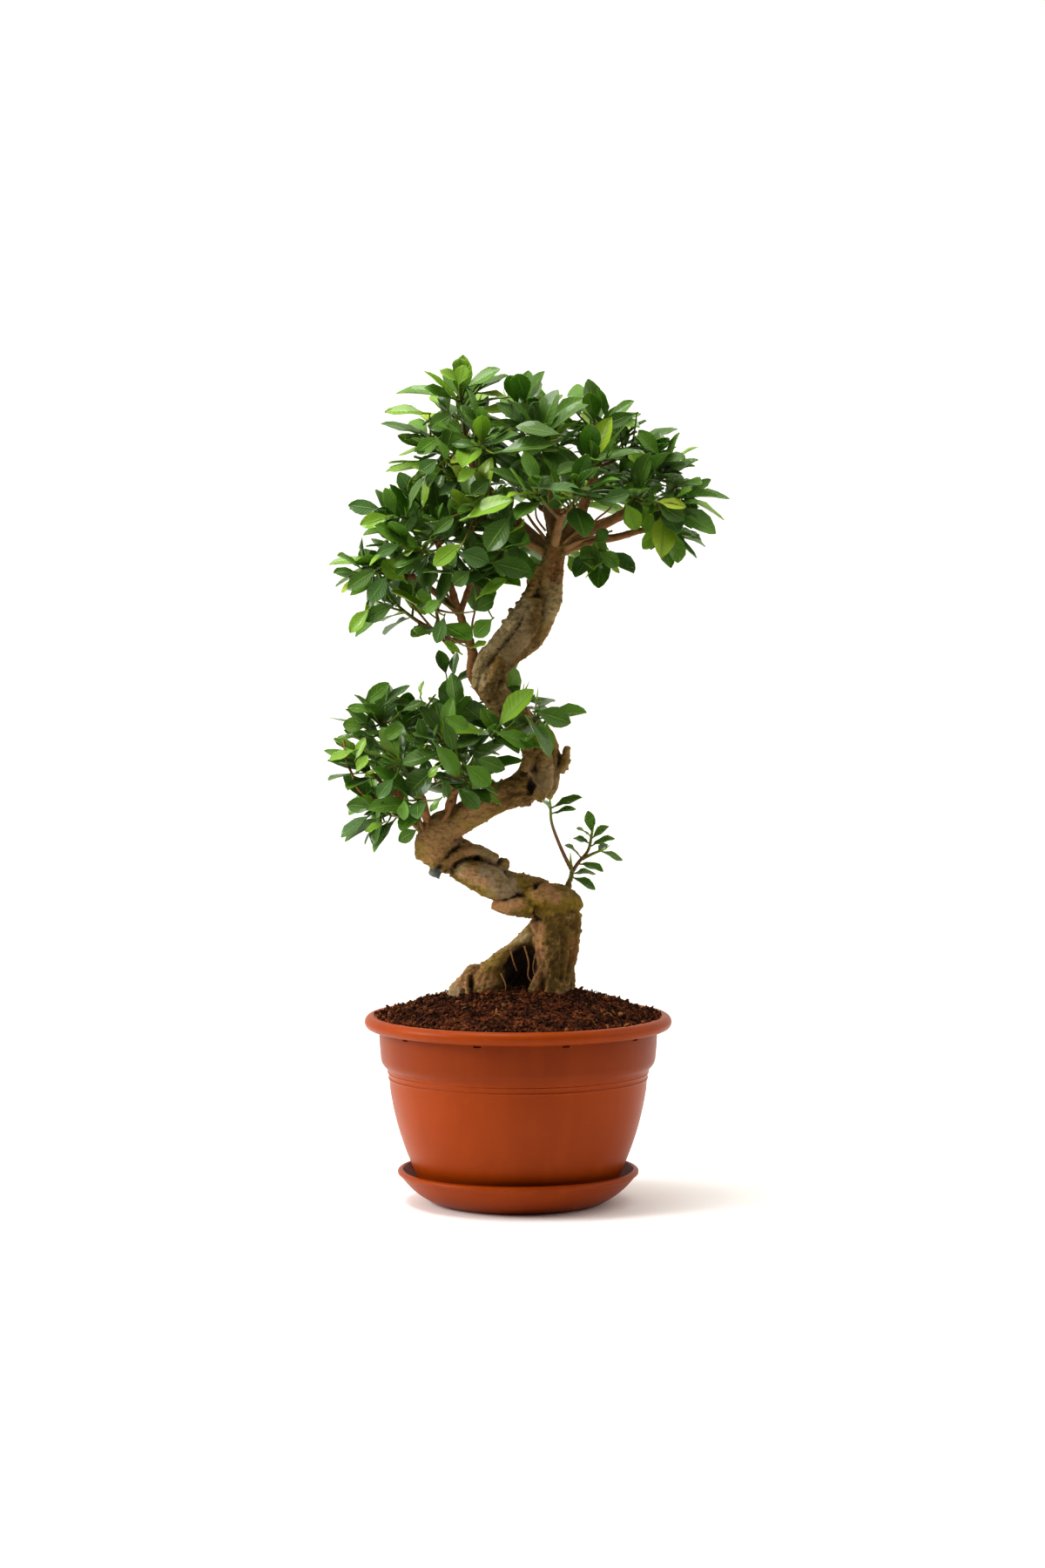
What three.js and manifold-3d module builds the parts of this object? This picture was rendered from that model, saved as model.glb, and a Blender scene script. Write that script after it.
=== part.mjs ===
// A ficus ginseng bonsai in a plastic bowl pot on its saucer. Millimetres, +Z up, +X to the viewer's right.
// The origin is the middle of the saucer's flat foot, where the whole plant stands.
import * as THREE from "three";
import { mergeVertices } from "three/addons/utils/BufferGeometryUtils.js";
import Module from "manifold-3d";

const wasm = await Module();
wasm.setup();

const GAP = 0.3; // between pieces that rest in or on each other

const SAUCER_RADIUS = 98.5;
const SAUCER_HEIGHT = 27;
const SAUCER_FOOT = 68;
const SAUCER_WALL = 2.4;
const SAUCER_FLOOR = 3;
const SAUCER_LIP = 4;
const SAUCER_SIDES = 24;

const POT_RADIUS = 125;
const POT_TOP = 153;
const POT_FOOT = 64;
const POT_WALL = 2.5;
const POT_FLOOR = 3;
const RIM_BEAD = 5.5; // radius of the rolled rim
const SHOULDER_HEIGHT = 101;
const POT_SIDES = 24;
const DRAIN_RADIUS = 5;
const DRAIN_RING = 38;
const DRAINS = 4;

const SOIL_EDGE = 149.5;
const SOIL_MOUND = 24;
const SOIL_CRUMB = 1.6;

const LEAF_LENGTH = 46; // from the twig to the tip, with its stalk
const LEAF_WIDTH = 0.48; // as a share of its length
const LEAF_THICK = 0.8;
const LEAF_ARCH = 0.13; // how far the tip of a blade droops, as a share of its length
const LEAF_STEP = 5.2; // along the twig, from one leaf to the next
const LEAF_CLEAR = 8; // between leaves of two sprays
const LEAF_APART = 5; // between leaves of one spray
const WOOD_CLEAR = 4.5; // between a leaf and the wood of another piece
const GOLDEN_TURN = 2.39996; // radians from one leaf to the next, round the twig

const TWIG_LEAST = 34; // the shortest twig, from its limb to its tip
const TWIG_LEAFY = 0.72; // the share of a short twig that bears leaves
const TWIG_ROOT = 2.4;
const TWIG_CUT = 2;
const TWIG_TIP = 1.4;

const point = (x, y, z) => new THREE.Vector3(x, y, z);
const UP = point(0, 0, 1);

// A repeatable draw from 0 to 1 for a spray, a leaf and a use.
function chance(spray, leaf, use) {
  const wave = Math.sin(spray * 127.1 + leaf * 311.7 + use * 74.7) * 43758.5453;
  return wave - Math.floor(wave);
}

// Solids and meshes

function solid(geometry) {
  const shape = geometry.clone();
  shape.deleteAttribute("normal");
  shape.deleteAttribute("uv");
  const merged = mergeVertices(shape, 1e-4);
  const mesh = new wasm.Mesh({
    numProp: 3,
    vertProperties: merged.attributes.position.array,
    triVerts: new Uint32Array(merged.index.array),
  });
  return new wasm.Manifold(mesh);
}

function joined(solids) {
  return solids.reduce((whole, next) => whole.add(next));
}

const FINISH = {
  plastic: { color: 0xb4532e, roughness: 0.45, metalness: 0 },
  soil: { color: 0x4a2515, roughness: 0.95, metalness: 0 },
  bark: { color: 0x8f7450, roughness: 0.8, metalness: 0 },
  leaf: { color: 0x3c7a22, roughness: 0.35, metalness: 0 },
};

const group = new THREE.Group();

function addPiece(name, finish, whole) {
  const mesh = whole.getMesh();
  const geometry = new THREE.BufferGeometry();
  geometry.setAttribute("position", new THREE.BufferAttribute(mesh.vertProperties, 3));
  geometry.setIndex(new THREE.BufferAttribute(mesh.triVerts, 1));
  geometry.computeVertexNormals();
  const piece = new THREE.Mesh(geometry, new THREE.MeshStandardMaterial(FINISH[finish]));
  piece.name = name;
  group.add(piece);
}

// Saucer, pot and soil

function turned(path, curvePoints, sides) {
  const profile = path.getPoints(curvePoints);
  return solid(new THREE.LatheGeometry(profile, sides).rotateX(Math.PI / 2));
}

function saucer() {
  const lipFoot = SAUCER_HEIGHT - SAUCER_LIP;
  const path = new THREE.Path();
  path.moveTo(0, 0);
  path.lineTo(SAUCER_FOOT, 0);
  path.quadraticCurveTo(SAUCER_RADIUS - 12, 7, SAUCER_RADIUS - 2, lipFoot);
  path.lineTo(SAUCER_RADIUS, lipFoot + 0.8);
  path.lineTo(SAUCER_RADIUS, SAUCER_HEIGHT - 1);
  path.lineTo(SAUCER_RADIUS - 1, SAUCER_HEIGHT);
  path.lineTo(SAUCER_RADIUS - 2 - SAUCER_WALL, SAUCER_HEIGHT - 1);
  path.lineTo(SAUCER_RADIUS - 2 - SAUCER_WALL, lipFoot);
  path.quadraticCurveTo(SAUCER_RADIUS - 15, 10, SAUCER_FOOT + 1, SAUCER_FLOOR);
  path.lineTo(0, SAUCER_FLOOR);
  return turned(path, 3, SAUCER_SIDES);
}

const POT_BASE = SAUCER_FLOOR + GAP;
const POT_INSIDE = POT_BASE + POT_FLOOR;

// The pot's inner wall from its floor up, moved in by a clearance. The soil fills the same outline.
function innerWall(path, clear) {
  path.lineTo(POT_FOOT - clear, POT_INSIDE + clear);
  path.quadraticCurveTo(77 - clear, 9.5, 83.7 - POT_WALL - clear, 25);
  path.quadraticCurveTo(99.2 - POT_WALL - clear, 58, 104.4 - POT_WALL - clear, SHOULDER_HEIGHT - 4);
  path.lineTo(105.2 - POT_WALL - clear, SHOULDER_HEIGHT + 1);
  path.lineTo(110.6 - POT_WALL - clear, 113);
  path.lineTo(113.3 - POT_WALL - clear, 134);
}

function pot() {
  const rimMiddle = POT_TOP - RIM_BEAD;
  const rimAxis = POT_RADIUS - RIM_BEAD;
  const path = new THREE.Path();
  path.moveTo(0, POT_BASE);
  path.lineTo(POT_FOOT, POT_BASE);
  path.quadraticCurveTo(78, 7, 83.7, 23.7);
  path.quadraticCurveTo(99.5, 57, 104.4, SHOULDER_HEIGHT - 5);
  path.lineTo(105.2, SHOULDER_HEIGHT + 1);
  path.lineTo(111, 114);
  path.lineTo(113.3, 136);
  path.lineTo(114.5, POT_TOP - 2 * RIM_BEAD);
  path.absarc(rimAxis, rimMiddle, RIM_BEAD, -Math.PI / 2, Math.PI / 2, false);
  path.lineTo(113.3 - POT_WALL, POT_TOP - 2);
  const inner = new THREE.Path();
  inner.moveTo(0, POT_INSIDE);
  innerWall(inner, 0);
  const outline = path.getPoints(2);
  const inside = inner.getPoints(2).reverse();
  const shell = solid(new THREE.LatheGeometry([...outline, ...inside], POT_SIDES).rotateX(Math.PI / 2));
  return shell.subtract(drains());
}

function drains() {
  const holes = [];
  for (let k = 0; k < DRAINS; k += 1) {
    const turn = ((k + 0.5) / DRAINS) * 2 * Math.PI;
    const hole = new THREE.CylinderGeometry(DRAIN_RADIUS, DRAIN_RADIUS, 3 * POT_FLOOR, 8);
    hole.rotateX(Math.PI / 2);
    hole.translate(DRAIN_RING * Math.cos(turn), DRAIN_RING * Math.sin(turn), POT_BASE + POT_FLOOR / 2);
    holes.push(solid(hole));
  }
  return joined(holes);
}

function moundHeight(radius) {
  const share = Math.min(radius / (POT_RADIUS - 16), 1);
  return SOIL_EDGE + SOIL_MOUND * (1 - share * share) ** 0.8;
}

function soil() {
  const path = new THREE.Path();
  path.moveTo(0, POT_INSIDE + GAP);
  innerWall(path, GAP);
  path.lineTo(113.3 - POT_WALL - GAP, SOIL_EDGE);
  for (const radius of [92, 72, 50, 25, 0]) {
    path.lineTo(radius, moundHeight(radius));
  }
  const shape = new THREE.LatheGeometry(path.getPoints(2), POT_SIDES).rotateX(Math.PI / 2);
  const place = shape.attributes.position;
  for (let k = 0; k < place.count; k += 1) {
    const x = place.getX(k);
    const y = place.getY(k);
    const radius = Math.hypot(x, y);
    if (place.getZ(k) > SOIL_EDGE + 1) {
      const crumb = Math.sin(x * 0.21 + y * 0.13) * Math.cos(y * 0.19 - x * 0.07) + Math.sin(x * y * 0.004);
      place.setZ(k, moundHeight(radius) + SOIL_CRUMB * crumb);
    }
  }
  return solid(shape).subtract(joined(LEGS.map((stations) => leg(stations, GAP))));
}

// Wood: a stem is a closed tube round a way, its radius given at each share of its length.

function framesOn(way, rings) {
  const frames = [];
  let side = Math.abs(way.getTangent(0).y) < 0.8 ? point(0, 1, 0) : point(1, 0, 0);
  for (let k = 0; k <= rings; k += 1) {
    const along = way.getTangent(k / rings);
    side = side.clone().addScaledVector(along, -side.dot(along)).normalize();
    const back = side.clone().cross(along);
    frames.push({ spot: way.getPoint(k / rings), side, back });
  }
  return frames;
}

function stem(way, radiusAt, sides, rings) {
  const shape = new THREE.CylinderGeometry(1, 1, 1, sides, rings);
  const frames = framesOn(way, rings);
  const place = shape.attributes.position;
  for (let k = 0; k < place.count; k += 1) {
    const share = place.getY(k) + 0.5;
    const frame = frames[Math.round(share * rings)];
    const turn = Math.atan2(place.getX(k), place.getZ(k));
    const radius = Math.hypot(place.getX(k), place.getZ(k)) * radiusAt(share, turn);
    const spot = frame.spot.clone();
    spot.addScaledVector(frame.side, Math.sin(turn) * radius);
    spot.addScaledVector(frame.back, Math.cos(turn) * radius);
    place.setXYZ(k, spot.x, spot.y, spot.z);
  }
  return solid(shape);
}

function smoothWay(spots) {
  const points = spots.map(([x, y, z]) => point(x, y, z));
  return new THREE.CatmullRomCurve3(points, false, "catmullrom", 0.5);
}

// The radius between stations [x, y, z, radius], by share of their count.
function stationRadius(stations, share) {
  const at = share * (stations.length - 1);
  const low = Math.min(Math.floor(at), stations.length - 2);
  const mix = at - low;
  return stations[low][3] * (1 - mix) + stations[low + 1][3] * mix;
}

// The thick roots that the trunk stands on, from inside the soil up. The back one closes the hollow
// between the other two.
const RIGHT_LEG = [
  [28, 3, 138, 12],
  [29.5, 2, 160, 14],
  [30.5, 1, 180, 15],
  [31.5, 0, 198, 17.5],
  [32.5, -1, 216, 20],
  [30, -2, 232, 22],
];
const LEFT_LEG = [
  [-42, 7, 138, 14],
  [-38, 7, 157, 18],
  [-30, 7, 174, 18.5],
  [-12, 5, 187, 15],
  [5, 3, 202, 13.5],
  [20, 0, 219, 13],
];
const BACK_LEG = [
  [6, 19, 138, 7],
  [6, 18, 162, 9],
  [9, 14, 186, 10],
  [16, 7, 210, 11],
];
const LEGS = [RIGHT_LEG, LEFT_LEG, BACK_LEG];
// The serpentine trunk from the knee up to where the crown's limbs part
const TRUNK = [
  [32, -1, 224, 19],
  [30.5, -2, 237, 23.5],
  [21, -2, 245, 19.5],
  [6, -1, 249.5, 17.5],
  [-11, 3, 258, 16.5],
  [-27, 5, 267, 15.5],
  [-43, 4, 277, 16],
  [-58, 1, 284, 18.5],
  [-66, -3, 292, 19.5],
  [-63, -6, 303, 16],
  [-50, -7, 311, 12.5],
  [-32, -6, 321, 12],
  [-13, -3, 332, 12],
  [4, -1, 337.5, 14],
  [16, 1, 346, 16.5],
  [19, 3, 361, 15.5],
  [14, 4, 376, 14.5],
  [3, 3, 390, 13.5],
  [-10, 1, 403, 12.5],
  [-20, -1, 415, 12.5],
  [-24, -2, 427, 13],
  [-19, -1, 438, 13.5],
  [-11, 1, 447, 14.5],
  [-2, 2, 457, 15.5],
  [8, 2, 469, 16.5],
  [17, 1, 482, 16.5],
  [22.5, 0, 495, 14],
  [26, 0, 509, 12],
  [28, 0, 522, 10],
  [29, 0, 535, 10],
  [30, 0, 543, 7],
];
const BROKEN_STUB = [
  [20, 0, 356, 9],
  [30, -2, 362, 7],
  [39, -3, 370, 3.5],
];
const CUT_STUB = [
  [-62, -6, 280, 8],
  [-68, -10, 268, 7.5],
  [-70, -12, 263, 6.5],
];
const KNOT = [
  [-16, 0, 268, 8],
  [-13, -1, 276, 6],
  [-12, -1, 280, 3],
];
// Roots that have grown into the trunk and stand out of it, from the legs over the knee and on up
const FUSED_ROOTS = [
  [
    [16, -11, 176, 5],
    [18, -15, 206, 8],
    [13, -16, 230, 9.5],
    [-3, -12, 241, 8.5],
    [-22, -9, 254, 7.5],
    [-40, -9, 268, 6],
  ],
  [
    [46, -9, 214, 5],
    [42, -12, 240, 8],
    [24, -11, 255, 9],
    [6, -8, 260, 7],
    [-10, -4, 264, 5],
  ],
];

// Twisted strands of wood, which swell and sink round the trunk as it climbs
function strands(share, turn, twist) {
  return 1 + 0.07 * Math.cos(3 * turn + twist * share) + 0.04 * Math.sin(5 * turn - twist * share);
}

// A leg, or with a swell the plain hole that it stands in
function leg(stations, swell) {
  const [x, y, z, radius] = stations[0];
  const spots = [[x, y, z - swell, radius], ...stations.slice(1)];
  const radiusAt = (share, turn) => stationRadius(stations, share) * strands(share, turn, 3) + swell;
  return stem(smoothWay(spots), radiusAt, 7, 2 * (spots.length - 1));
}

function trunkStem() {
  const radiusAt = (share, turn) => stationRadius(TRUNK, share) * strands(share, turn, 40);
  return stem(smoothWay(TRUNK), radiusAt, 9, TRUNK.length - 1);
}

function stub(stations) {
  return stem(smoothWay(stations), (share) => stationRadius(stations, share), 6, stations.length - 1);
}

// Limbs: the root radius, the tip radius and the way of each
const LIMBS = {
  crownLeft: [6, 2.2, [[24, 0, 530], [6, 0, 546], [-16, -3, 568], [-34, -2, 594], [-42, 0, 616]]],
  crownUp: [5, 2.2, [[29, 0, 533], [30, 0, 560], [20, 2, 588], [6, 2, 612]]],
  crownUpRight: [5, 2.2, [[32, 0, 533], [50, 2, 560], [60, 3, 586], [66, 3, 604]]],
  crownRight: [5.5, 2.2, [[33, 0, 531], [56, -3, 545], [82, -3, 558], [104, -2, 572]]],
  crownRightLow: [4, 2, [[33, 0, 528], [58, 2, 537], [80, 2, 541], [98, 0, 546]]],
  crownFront: [4, 2.2, [[29, -5, 533], [32, -28, 548], [34, -46, 556]]],
  crownBack: [4, 2.2, [[29, 5, 533], [26, 30, 550], [24, 52, 562]]],
  crownLeftFront: [3.5, 2, [[22, -4, 528], [4, -18, 538], [-14, -28, 546]]],
  crownLeftBack: [3.5, 2, [[22, 4, 530], [2, 22, 542], [-18, 36, 552]]],
  middleStem: [5, 3.4, [[-26, 0, 412], [-37, -4, 430], [-37, -5, 448], [-43, -5, 466], [-48, -5, 482]]],
  middleUp: [3, 2, [[-48, -5, 480], [-54, -8, 500], [-60, -6, 520], [-66, -2, 538]]],
  middleLeft: [3, 2, [[-48, -5, 480], [-62, -5, 492], [-82, -4, 508]]],
  middleLow: [2.6, 2, [[-41, -5, 458], [-56, -6, 458], [-67, -4, 465]]],
  middleRight: [2.6, 2, [[-47, -5, 480], [-42, -2, 494], [-38, 0, 506]]],
  lowerLeft: [4, 2.2, [[-74, 0, 298], [-86, -2, 314], [-97, -3, 331]]],
  lowerFront: [3.5, 2.2, [[-70, -6, 302], [-76, -18, 322], [-80, -26, 340]]],
  lowerMid: [3.5, 2.2, [[-60, -6, 306], [-54, -16, 332], [-52, -22, 352]]],
  lowerBack: [3.5, 2.2, [[-70, 4, 300], [-80, 18, 326], [-86, 24, 348]]],
  lowerMidBack: [3.5, 2.2, [[-58, 0, 308], [-52, 18, 334], [-50, 26, 356]]],
  lowerRight: [4, 2.4, [[12, -4, 372], [9, -12, 374], [8, -19, 377]]],
  lowerRightBack: [4, 2.4, [[8, 6, 386], [6, 12, 385], [4, 18, 386]]],
};

// A limb runs on into its leader, the first spray that is named for it.
function limb(name) {
  const [root, tip, spots] = LIMBS[name];
  const leader = sprays.find((spray) => spray.limbName === name);
  const end = leader ? leader.cut - GAP / 2 / leader.length : 0;
  const onward = leader ? [leader.way.getPoint(end / 2).toArray(), leader.way.getPoint(end).toArray()] : [];
  const points = [...spots, ...onward];
  const radiusAt = (share) => Math.max(root + (tip - root) * share * 1.3, TWIG_CUT);
  return stem(smoothWay(points), radiusAt, 4, points.length - 1);
}

// Sprays: the limb, the tip of the twig, how many leaves, and the tips of the leaves that give its outline
const SPRAYS = [
  ["crown", "crownLeft", [-46, 0, 652], 6, [[-46, -5, 688], [-97, 4, 664], [-13, 8, 675], [-73, -16, 660]]],
  ["crown", "crownLeft", [-72, 6, 622], 5, [[-109, 4, 637], [-98, 16, 612], [-88, -22, 632]]],
  ["crown", "crownLeft", [-68, -10, 596], 5, [[-107, -6, 598], [-82, -34, 614]]],
  ["crown", "crownUp", [0, 3, 646], 5, [[18, 0, 676], [-34, -8, 658], [34, 12, 660]]],
  ["crown", "crownUpRight", [62, 0, 634], 5, [[58, -4, 668], [88, -4, 653], [99, 12, 645]]],
  ["crown", "crownUpRight", [92, 10, 614], 5, [[103, 2, 640], [127, 8, 632], [134, 24, 610]]],
  ["crown", "crownRight", [116, -12, 598], 5, [[142, -10, 607], [156, -6, 588], [97, -24, 624]]],
  ["crown", "crownRight", [132, 4, 574], 6, [[171, 4, 577], [169, 16, 560], [157, -8, 548], [150, -22, 580]]],
  ["crown", "crownRightLow", [124, -8, 552], 5, [[105, -22, 534], [126, -18, 519], [147, 2, 528]]],
  ["crown", "crownLeft", [-30, -38, 618], 4, []],
  ["crown", "crownUp", [18, -42, 618], 5, [[52, -44, 650], [2, -50, 650]]],
  ["crown", "crownUpRight", [56, -58, 598], 5, [[58, -72, 632], [94, -66, 611]]],
  ["crown", "crownRight", [92, -50, 572], 5, [[96, -84, 582], [92, -76, 550]]],
  ["crown", "crownLeftFront", [-36, -50, 566], 4, []],
  ["crown", "crownFront", [16, -72, 574], 5, [[8, -80, 606], [-20, -72, 598], [16, -112, 592]]],
  ["crown", "crownFront", [50, -74, 578], 5, [[86, -84, 586], [48, -110, 583]]],
  ["crown", "crownRight", [120, -44, 564], 5, [[142, -62, 572], [126, -70, 548]]],
  ["crown", "crownRightLow", [68, -38, 530], 4, [[62, -48, 504], [94, -50, 517], [44, -54, 514]]],
  ["crown", "crownLeftFront", [-12, -46, 530], 5, [[10, -50, 510], [-36, -62, 520]]],
  ["crown", "crownLeft", [-54, -30, 588], 4, []],
  ["crown", "crownLeft", [-40, 46, 624], 4, []],
  ["crown", "crownUp", [20, 48, 630], 4, []],
  ["crown", "crownUpRight", [78, 50, 608], 4, []],
  ["crown", "crownLeftBack", [-50, 58, 574], 4, []],
  ["crown", "crownBack", [2, 84, 584], 4, []],
  ["crown", "crownBack", [56, 88, 572], 4, []],
  ["crown", "crownRight", [112, 44, 574], 4, []],
  ["crown", "crownBack", [36, 84, 536], 4, []],
  ["crown", "crownLeftBack", [-10, 70, 540], 4, []],
  ["middle", "middleUp", [-98, -4, 554], 5, [[-135, -2, 568], [-124, -18, 548], [-100, -10, 584]]],
  ["middle", "middleUp", [-82, 16, 572], 5, [[-128, 18, 573], [-96, 22, 596]]],
  ["middle", "middleLeft", [-112, -8, 518], 5, [[-152, -8, 524], [-150, 8, 506], [-136, -18, 499]]],
  ["middle", "middleLow", [-100, 0, 488], 5, [[-134, -2, 464], [-121, -18, 474]]],
  ["middle", "middleUp", [-76, -38, 530], 4, [[-98, -56, 514]]],
  ["middle", "middleUp", [-52, -34, 546], 4, []],
  ["middle", "middleLow", [-66, -30, 484], 5, [[-64, -44, 455], [-84, -46, 466]]],
  ["middle", "middleUp", [-70, 36, 558], 4, []],
  ["middle", "middleLeft", [-94, 34, 514], 4, []],
  ["middle", "middleRight", [-34, 32, 516], 4, [[-20, 12, 490]]],
  ["middle", "middleRight", [-34, -30, 520], 4, [[-22, -48, 500]]],
  ["lower", "lowerLeft", [-112, 2, 392], 6, [[-106, 2, 422], [-136, -4, 405], [-140, 8, 388]]],
  ["lower", "lowerLeft", [-126, -14, 360], 5, [[-152, -10, 365], [-136, -36, 376]]],
  ["lower", "lowerLeft", [-116, -16, 322], 5, [[-142, -16, 300], [-124, -36, 302], [-120, -8, 288]]],
  ["lower", "lowerFront", [-94, -42, 362], 4, [[-108, -62, 372]]],
  ["lower", "lowerFront", [-80, -50, 332], 4, [[-92, -62, 312]]],
  ["lower", "lowerMid", [-60, -38, 380], 5, [[-86, -52, 374], [-54, -44, 412]]],
  ["lower", "lowerRight", [-24, -38, 384], 5, [[8, -44, 417], [-54, -50, 390], [2, -62, 374]]],
  ["lower", "lowerRight", [16, -45, 400], 5, [[41, -36, 403], [36, -26, 388], [26, -50, 368]]],
  ["lower", "lowerMid", [-38, -44, 350], 5, [[-24, -58, 334], [-22, -36, 356]]],
  ["lower", "lowerBack", [-94, 32, 388], 4, []],
  ["lower", "lowerBack", [-106, 40, 352], 4, []],
  ["lower", "lowerMidBack", [-52, 38, 392], 4, []],
  ["lower", "lowerMidBack", [-44, 50, 356], 4, []],
  ["lower", "lowerRightBack", [-12, 48, 404], 4, []],
];

const limbWays = Object.fromEntries(Object.entries(LIMBS).map(([name, made]) => [name, smoothWay(made[2])]));

// A leader goes on from its limb's end. Any other twig leaves its limb at the last spot that is far
// enough from the twig's tip, and turns up towards it.
function twigWay(limbName, tip, leads) {
  const way = limbWays[limbName];
  let root = way.getPoint(1);
  let nearest = leads ? 0 : Infinity;
  for (let k = 0; k <= 20; k += 1) {
    const spot = way.getPoint(k / 20);
    const far = spot.distanceTo(tip);
    if (far >= TWIG_LEAST && far < nearest) {
      nearest = far;
      root = spot;
    }
  }
  const length = root.distanceTo(tip);
  const middle = root.clone().lerp(tip, 0.5).addScaledVector(UP, -0.1 * length);
  return new THREE.QuadraticBezierCurve3(root, middle, tip);
}

function stretch(way, from, to) {
  return {
    getPoint: (share) => way.getPoint(from + (to - from) * share),
    getTangent: (share) => way.getTangent(from + (to - from) * share),
  };
}

const sprays = SPRAYS.map(([pad, limbName, tip, count, outline], number) => {
  const leads = SPRAYS.findIndex((row) => row[1] === limbName) === number;
  const way = twigWay(limbName, point(...tip), leads);
  const length = way.getLength();
  const leafy = Math.min(TWIG_LEAFY * length, LEAF_STEP * (count + 1));
  const cut = 1 - leafy / length;
  return { pad, limbName, leads, way, length, cut, count, outline, leaves: [] };
});

// Leaves: a leaf has its root, its heading, the way its upper face looks, its length and its width.

function leafToTip(spray, tip) {
  let root = spray.way.getPoint(1);
  let misfit = Infinity;
  for (let k = 0; k <= 8; k += 1) {
    const spot = spray.way.getPoint(spray.cut + (1 - spray.cut) * (0.15 + (0.82 * k) / 8));
    const wrong = Math.abs(spot.distanceTo(tip) - LEAF_LENGTH * 0.9);
    if (wrong < misfit) {
      misfit = wrong;
      root = spot;
    }
  }
  const heading = tip.clone().sub(root);
  const length = heading.length();
  return makeLeaf(root, heading.normalize(), point(0, -0.35, 1), length);
}

function leafByRule(spray, number, order, attempt) {
  const share = 1 - (1 + LEAF_STEP * order) / spray.length;
  const root = spray.way.getPoint(Math.max(share, spray.cut + 0.08));
  const along = spray.way.getTangent(share);
  const side = Math.abs(along.y) < 0.8 ? point(0, 1, 0) : point(1, 0, 0);
  side.addScaledVector(along, -side.dot(along)).normalize();
  const back = side.clone().cross(along);
  const turn = order * GOLDEN_TURN + chance(number, order, 1) * 0.8 + number + attempt * 0.9;
  const lean = 0.5 + 0.16 * order + chance(number, order + attempt, 2) * 0.3;
  const heading = along.clone().multiplyScalar(Math.cos(lean));
  heading.addScaledVector(side, Math.sin(turn) * Math.sin(lean));
  heading.addScaledVector(back, Math.cos(turn) * Math.sin(lean));
  const face = along.clone().multiplyScalar(0.6).add(point(0, -0.1, 0.8));
  face.x += chance(number, order, 3) * 0.6 - 0.3;
  face.y += chance(number, order, 4) * 0.6 - 0.3;
  const young = order === 0 ? 0.72 : 0.86 + 0.2 * chance(number, order, 5);
  return makeLeaf(root, heading, face, LEAF_LENGTH * young);
}

function makeLeaf(root, heading, facing, length) {
  const face = facing.clone().addScaledVector(heading, -facing.dot(heading)).normalize();
  const side = face.clone().cross(heading);
  return { root, heading, face, side, length, width: LEAF_WIDTH * length };
}

// A spot on a leaf, by its share of the length, its share of the half width, and its height over the blade
function onLeaf(leaf, along, across, over) {
  const half = (across * leaf.width) / 2;
  const rise = over - LEAF_ARCH * leaf.length * along * along;
  const spot = leaf.root.clone().addScaledVector(leaf.heading, along * leaf.length);
  return spot.addScaledVector(leaf.side, half).addScaledVector(leaf.face, rise);
}

const LEAF_SPOTS = [
  [0.14, 0], [0.28, 0], [0.44, -0.75], [0.44, 0], [0.44, 0.75], [0.6, -0.95], [0.6, 0], [0.6, 0.95],
  [0.76, -0.9], [0.76, 0], [0.76, 0.9], [0.92, -0.45], [0.92, 0.45], [1, 0],
];

const taken = [];

function takeWood(way, radiusAt, owner) {
  const steps = Math.ceil(way.getPoint(0).distanceTo(way.getPoint(1)) / 4) + 6;
  for (let k = 0; k <= steps; k += 1) {
    taken.push({ spot: way.getPoint(k / steps), radius: radiusAt(k / steps), owner, leaf: false });
  }
}

function isClear(leaf, owner) {
  const spots = LEAF_SPOTS.map(([along, across]) => onLeaf(leaf, along, across, 0));
  return taken.every((other) => {
    const own = other.owner === owner;
    if (own && !other.leaf) return true;
    const needed = other.leaf ? (own ? LEAF_APART : LEAF_CLEAR) : other.radius + WOOD_CLEAR;
    const from = own ? 3 : 0;
    return spots.slice(from).every((spot) => spot.distanceTo(other.spot) > needed);
  });
}

function takeLeaf(leaf, owner) {
  for (const [along, across] of LEAF_SPOTS) {
    const early = along < 0.4;
    if (!early) taken.push({ spot: onLeaf(leaf, along, across, 0), radius: 0, owner, leaf: true });
    else takeStalk(leaf, along, owner);
  }
}

function takeStalk(leaf, along, owner) {
  taken.push({ spot: onLeaf(leaf, along, 0, 0), radius: 1, owner, leaf: false });
}

function twigRadius(share) {
  return TWIG_CUT + (TWIG_TIP - TWIG_CUT) * share;
}

function placeLeaves() {
  takeWood(smoothWay(TRUNK), (share) => stationRadius(TRUNK, share), "trunk");
  takeWood(smoothWay(BROKEN_STUB), () => 8, "trunk");
  for (const name of Object.keys(LIMBS)) {
    takeWood(limbWays[name], () => 4, "trunk");
  }
  sprays.forEach((spray, number) => {
    takeWood(stretch(spray.way, 0, spray.cut), () => TWIG_ROOT, "trunk");
    takeWood(stretch(spray.way, spray.cut, 1), twigRadius, number);
  });
  sprays.forEach((spray, number) => {
    spray.outline.forEach(([x, y, z], order) => {
      const leaf = leafToTip(spray, point(x, y, z));
      if (isClear(leaf, number)) {
        takeLeaf(leaf, number);
        spray.leaves.push(leaf);
      }
    });
  });
  for (let order = 0; order < 9; order += 1) {
    sprays.forEach((spray, number) => {
      if (spray.leaves.length >= spray.count) return;
      for (let attempt = 0; attempt < 7; attempt += 1) {
        const leaf = leafByRule(spray, number, order, attempt);
        if (isClear(leaf, number)) {
          takeLeaf(leaf, number);
          spray.leaves.push(leaf);
          return;
        }
      }
    });
  }
}

// A blade's stations: share of the length, share of the half width
const LEAF_STATIONS = [
  [0, 0],
  [0.42, 0.86],
  [0.8, 0.88],
  [1, 0],
];

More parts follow.
